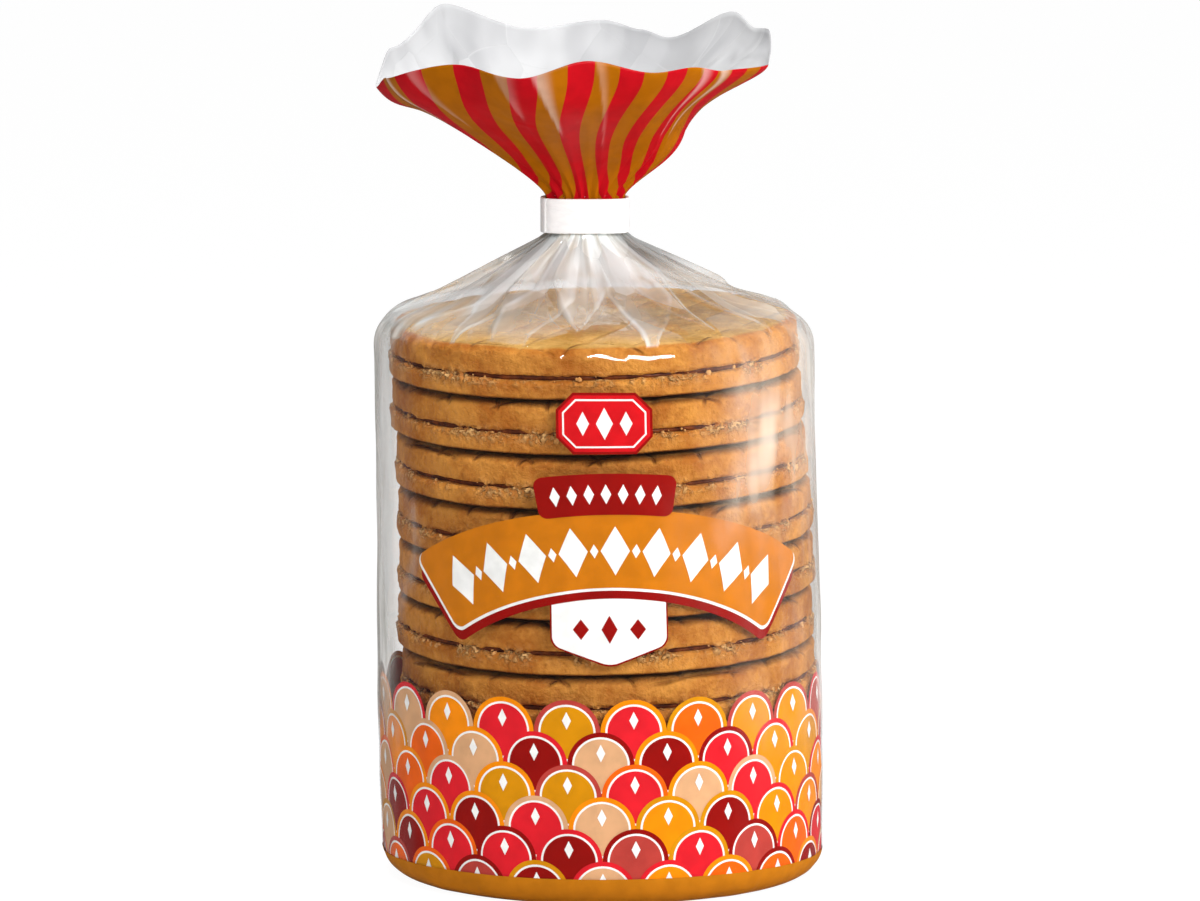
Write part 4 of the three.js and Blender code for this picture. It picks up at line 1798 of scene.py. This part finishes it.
def make_base(ochre):
    """The printed foot of the bag: a strip round the base, the corner and the underside"""
    inner = BODY_RADIUS - BASE_CORNER
    corner = arc(inner, BASE_CORNER, BASE_CORNER, -90, BASE_STRIP_END, BASE_RINGS)
    under = line((0, 0), corner[0], BASE_RINGS)
    bm = turned([(0, 0), *under, *corner], BASE_STEPS)
    for vert in bm.verts:
        angle, radius, height = round_place(vert)
        raised = height + STRIP_FRONT_RISE * clamp(math.cos(angle)) * ease(height, 0, BASE_STRIP_TOP)
        out = body_radius(raised) + 2 * LAYER_LIFT if height > TINY else radius
        vert.co = film_point(angle, out, raised)
    finish(bm, "base_strip", "print", ochre)


# The tape


def tape_point(angle, out, height):
    """A point on the flattened loop of tape, out from its middle line"""
    power = 2 / BAND_SQUARENESS
    cosine, sine = math.cos(angle), math.sin(angle)
    half_width = BAND_HALF_WIDTH - BAND_WALL / 2
    half_depth = BAND_HALF_DEPTH - BAND_WALL / 2
    x = half_width * math.copysign(abs(sine) ** power, sine)
    y = -half_depth * math.copysign(abs(cosine) ** power, cosine)
    away = Vector((x / half_width**2, y / half_depth**2, 0)).normalized()
    return Vector((x, y, 0)) + away * out + Vector((BAND_CENTRE, 0, height))


def make_band(material):
    """The tape wound round the neck, with its loose end lapped over on the left"""
    half = BAND_WALL / 2
    inside, outside = BAND_HALF_WIDTH - half, BAND_HALF_WIDTH + half
    corners = [(inside, BAND_BOTTOM), (outside, BAND_BOTTOM), (outside, BAND_TOP), (inside, BAND_TOP)]
    bm = turned([*corners, corners[0]], BAND_STEPS)
    sharp = [edge for edge in bm.edges if edge.calc_face_angle(0) > BAND_SHARP_TURN]
    bmesh.ops.bevel(
        bm, geom=sharp, offset=BAND_EDGE_ROUND, affect="EDGES", segments=3, profile=0.5, material=-1
    )
    for vert in bm.verts:
        angle, radius, height = round_place(vert)
        out = radius - BAND_HALF_WIDTH
        lapped = LAP_THICK * ease(angle, LAP_START, LAP_END) if angle < LAP_END and out > 0 else 0
        vert.co = tape_point(angle, out + lapped, height)
    finish(bm, "tape", "tape", material, node="band")


# The stage


def floor_material():
    """Pale paper that looks white to the eye"""
    material, tree, output = new_material("floor")
    path = add(tree, "LightPath")
    paper = add(tree, "BsdfDiffuse", Color=FLOOR_LIGHTING)
    pale = add(tree, "BsdfDiffuse", Color=FLOOR_SEEN)
    glow = add(tree, "Emission", Color=WHITE, Strength=FLOOR_GLOW)
    bright = add(tree, "AddShader")
    feed_all(tree, bright.inputs, (pale.outputs[0], glow.outputs[0]))
    seen = mixed(tree, path.outputs["Is Camera Ray"], paper, bright)
    tree.links.new(seen.outputs[0], output.inputs[0])
    return material


def make_floor():
    bm = bmesh.new()
    bmesh.ops.create_grid(bm, x_segments=1, y_segments=1, size=FLOOR_HALF_SIZE)
    mesh = bpy.data.meshes.new("floor")
    bm.to_mesh(mesh)
    bm.free()
    mesh.materials.append(floor_material())
    floor = bpy.data.objects.new("floor", mesh)
    bpy.context.scene.collection.objects.link(floor)
    floor.visible_glossy = False


def make_world():
    """A white surround for the eye, and a softer grey one for light and reflections"""
    world = bpy.data.worlds.new("studio")
    bpy.context.scene.world = world
    world.use_nodes = True
    tree = world.node_tree
    tree.nodes.clear()
    path = add(tree, "LightPath")
    seen = sum_of(tree, "MULTIPLY_ADD", path.outputs["Is Camera Ray"], 1 - SURROUND_LIGHT, SURROUND_LIGHT)
    mirrored = SURROUND_SHINE - SURROUND_LIGHT
    strength = sum_of(tree, "MULTIPLY_ADD", path.outputs["Is Glossy Ray"], mirrored, seen)
    sky = add(tree, "Background", Color=WHITE, Strength=strength)
    output = tree.nodes.new("ShaderNodeOutputWorld")
    tree.links.new(sky.outputs[0], output.inputs[0])


def add_softbox(name, place, width, height, watts, aim, roll=0.0):
    """A soft oval light, turned to what it lights"""
    light = bpy.data.lights.new(name, "AREA")
    light.shape = "ELLIPSE"
    light.size = width
    light.size_y = height
    light.energy = watts
    lamp = bpy.data.objects.new(name, light)
    lamp.location = place
    facing = (Vector(aim) - Vector(place)).to_track_quat("-Z", "Y")
    lamp.rotation_euler = (facing @ Quaternion((0, 0, 1), roll)).to_euler()
    bpy.context.scene.collection.objects.link(lamp)
    return lamp


def make_lights():
    for light in SOFT_LIGHTS:
        add_softbox(*light, LIGHTS_AIM).visible_glossy = False
    add_softbox(*GLARE, GLARE_AIM, GLARE_ROLL).visible_diffuse = False


def make_camera():
    """A long lens looking a little down, framed as the photograph is"""
    camera = bpy.data.cameras.new("camera")
    camera.sensor_fit = "HORIZONTAL"
    camera.sensor_width = CAMERA_SENSOR
    camera.lens = CAMERA_SENSOR * CAMERA_REACH / CAMERA_VIEW_WIDTH
    camera.clip_start = CAMERA_NEAREST
    view = bpy.data.objects.new("camera", camera)
    away = Vector((0, -math.cos(CAMERA_ELEVATION), math.sin(CAMERA_ELEVATION)))
    view.location = CAMERA_AIM + CAMERA_REACH * away
    view.rotation_euler = (CAMERA_AIM - view.location).to_track_quat("-Z", "Y").to_euler()
    bpy.context.scene.collection.objects.link(view)
    bpy.context.scene.camera = view


def make_pack():
    """All the pieces of the pack, with their materials"""
    crinkle = film_crinkle_group()
    crumb = crumb_group()
    facets = film_facets_group()
    clear = clear_film_material(crinkle, facets)
    lining = frill_lining_material(crinkle, facets)
    inks = {name: ink_material(name, crinkle) for name in INKS}

    make_film(clear)
    make_back_seam(clear)
    make_frill(printed_film("frill_stripes", crinkle, stripes, gloss=0.03), lining)
    make_throat(lining)

    biscuit = biscuit_material(crumb)
    syrup = syrup_material()
    for number in range(COOKIE_COUNT):
        make_cookie(number, biscuit)
        make_syrup(number, syrup)
    make_crumbs(crumbs_material(crumb))

    make_scales(inks)
    make_base(inks["ochre"])
    make_banner(inks)
    make_plate(inks)
    make_shield(inks)
    make_plaque(inks)
    make_band(tape_material())


make_camera()
make_pack()
make_floor()
make_world()
make_lights()
bpy.context.scene.view_settings.view_transform = "Standard"
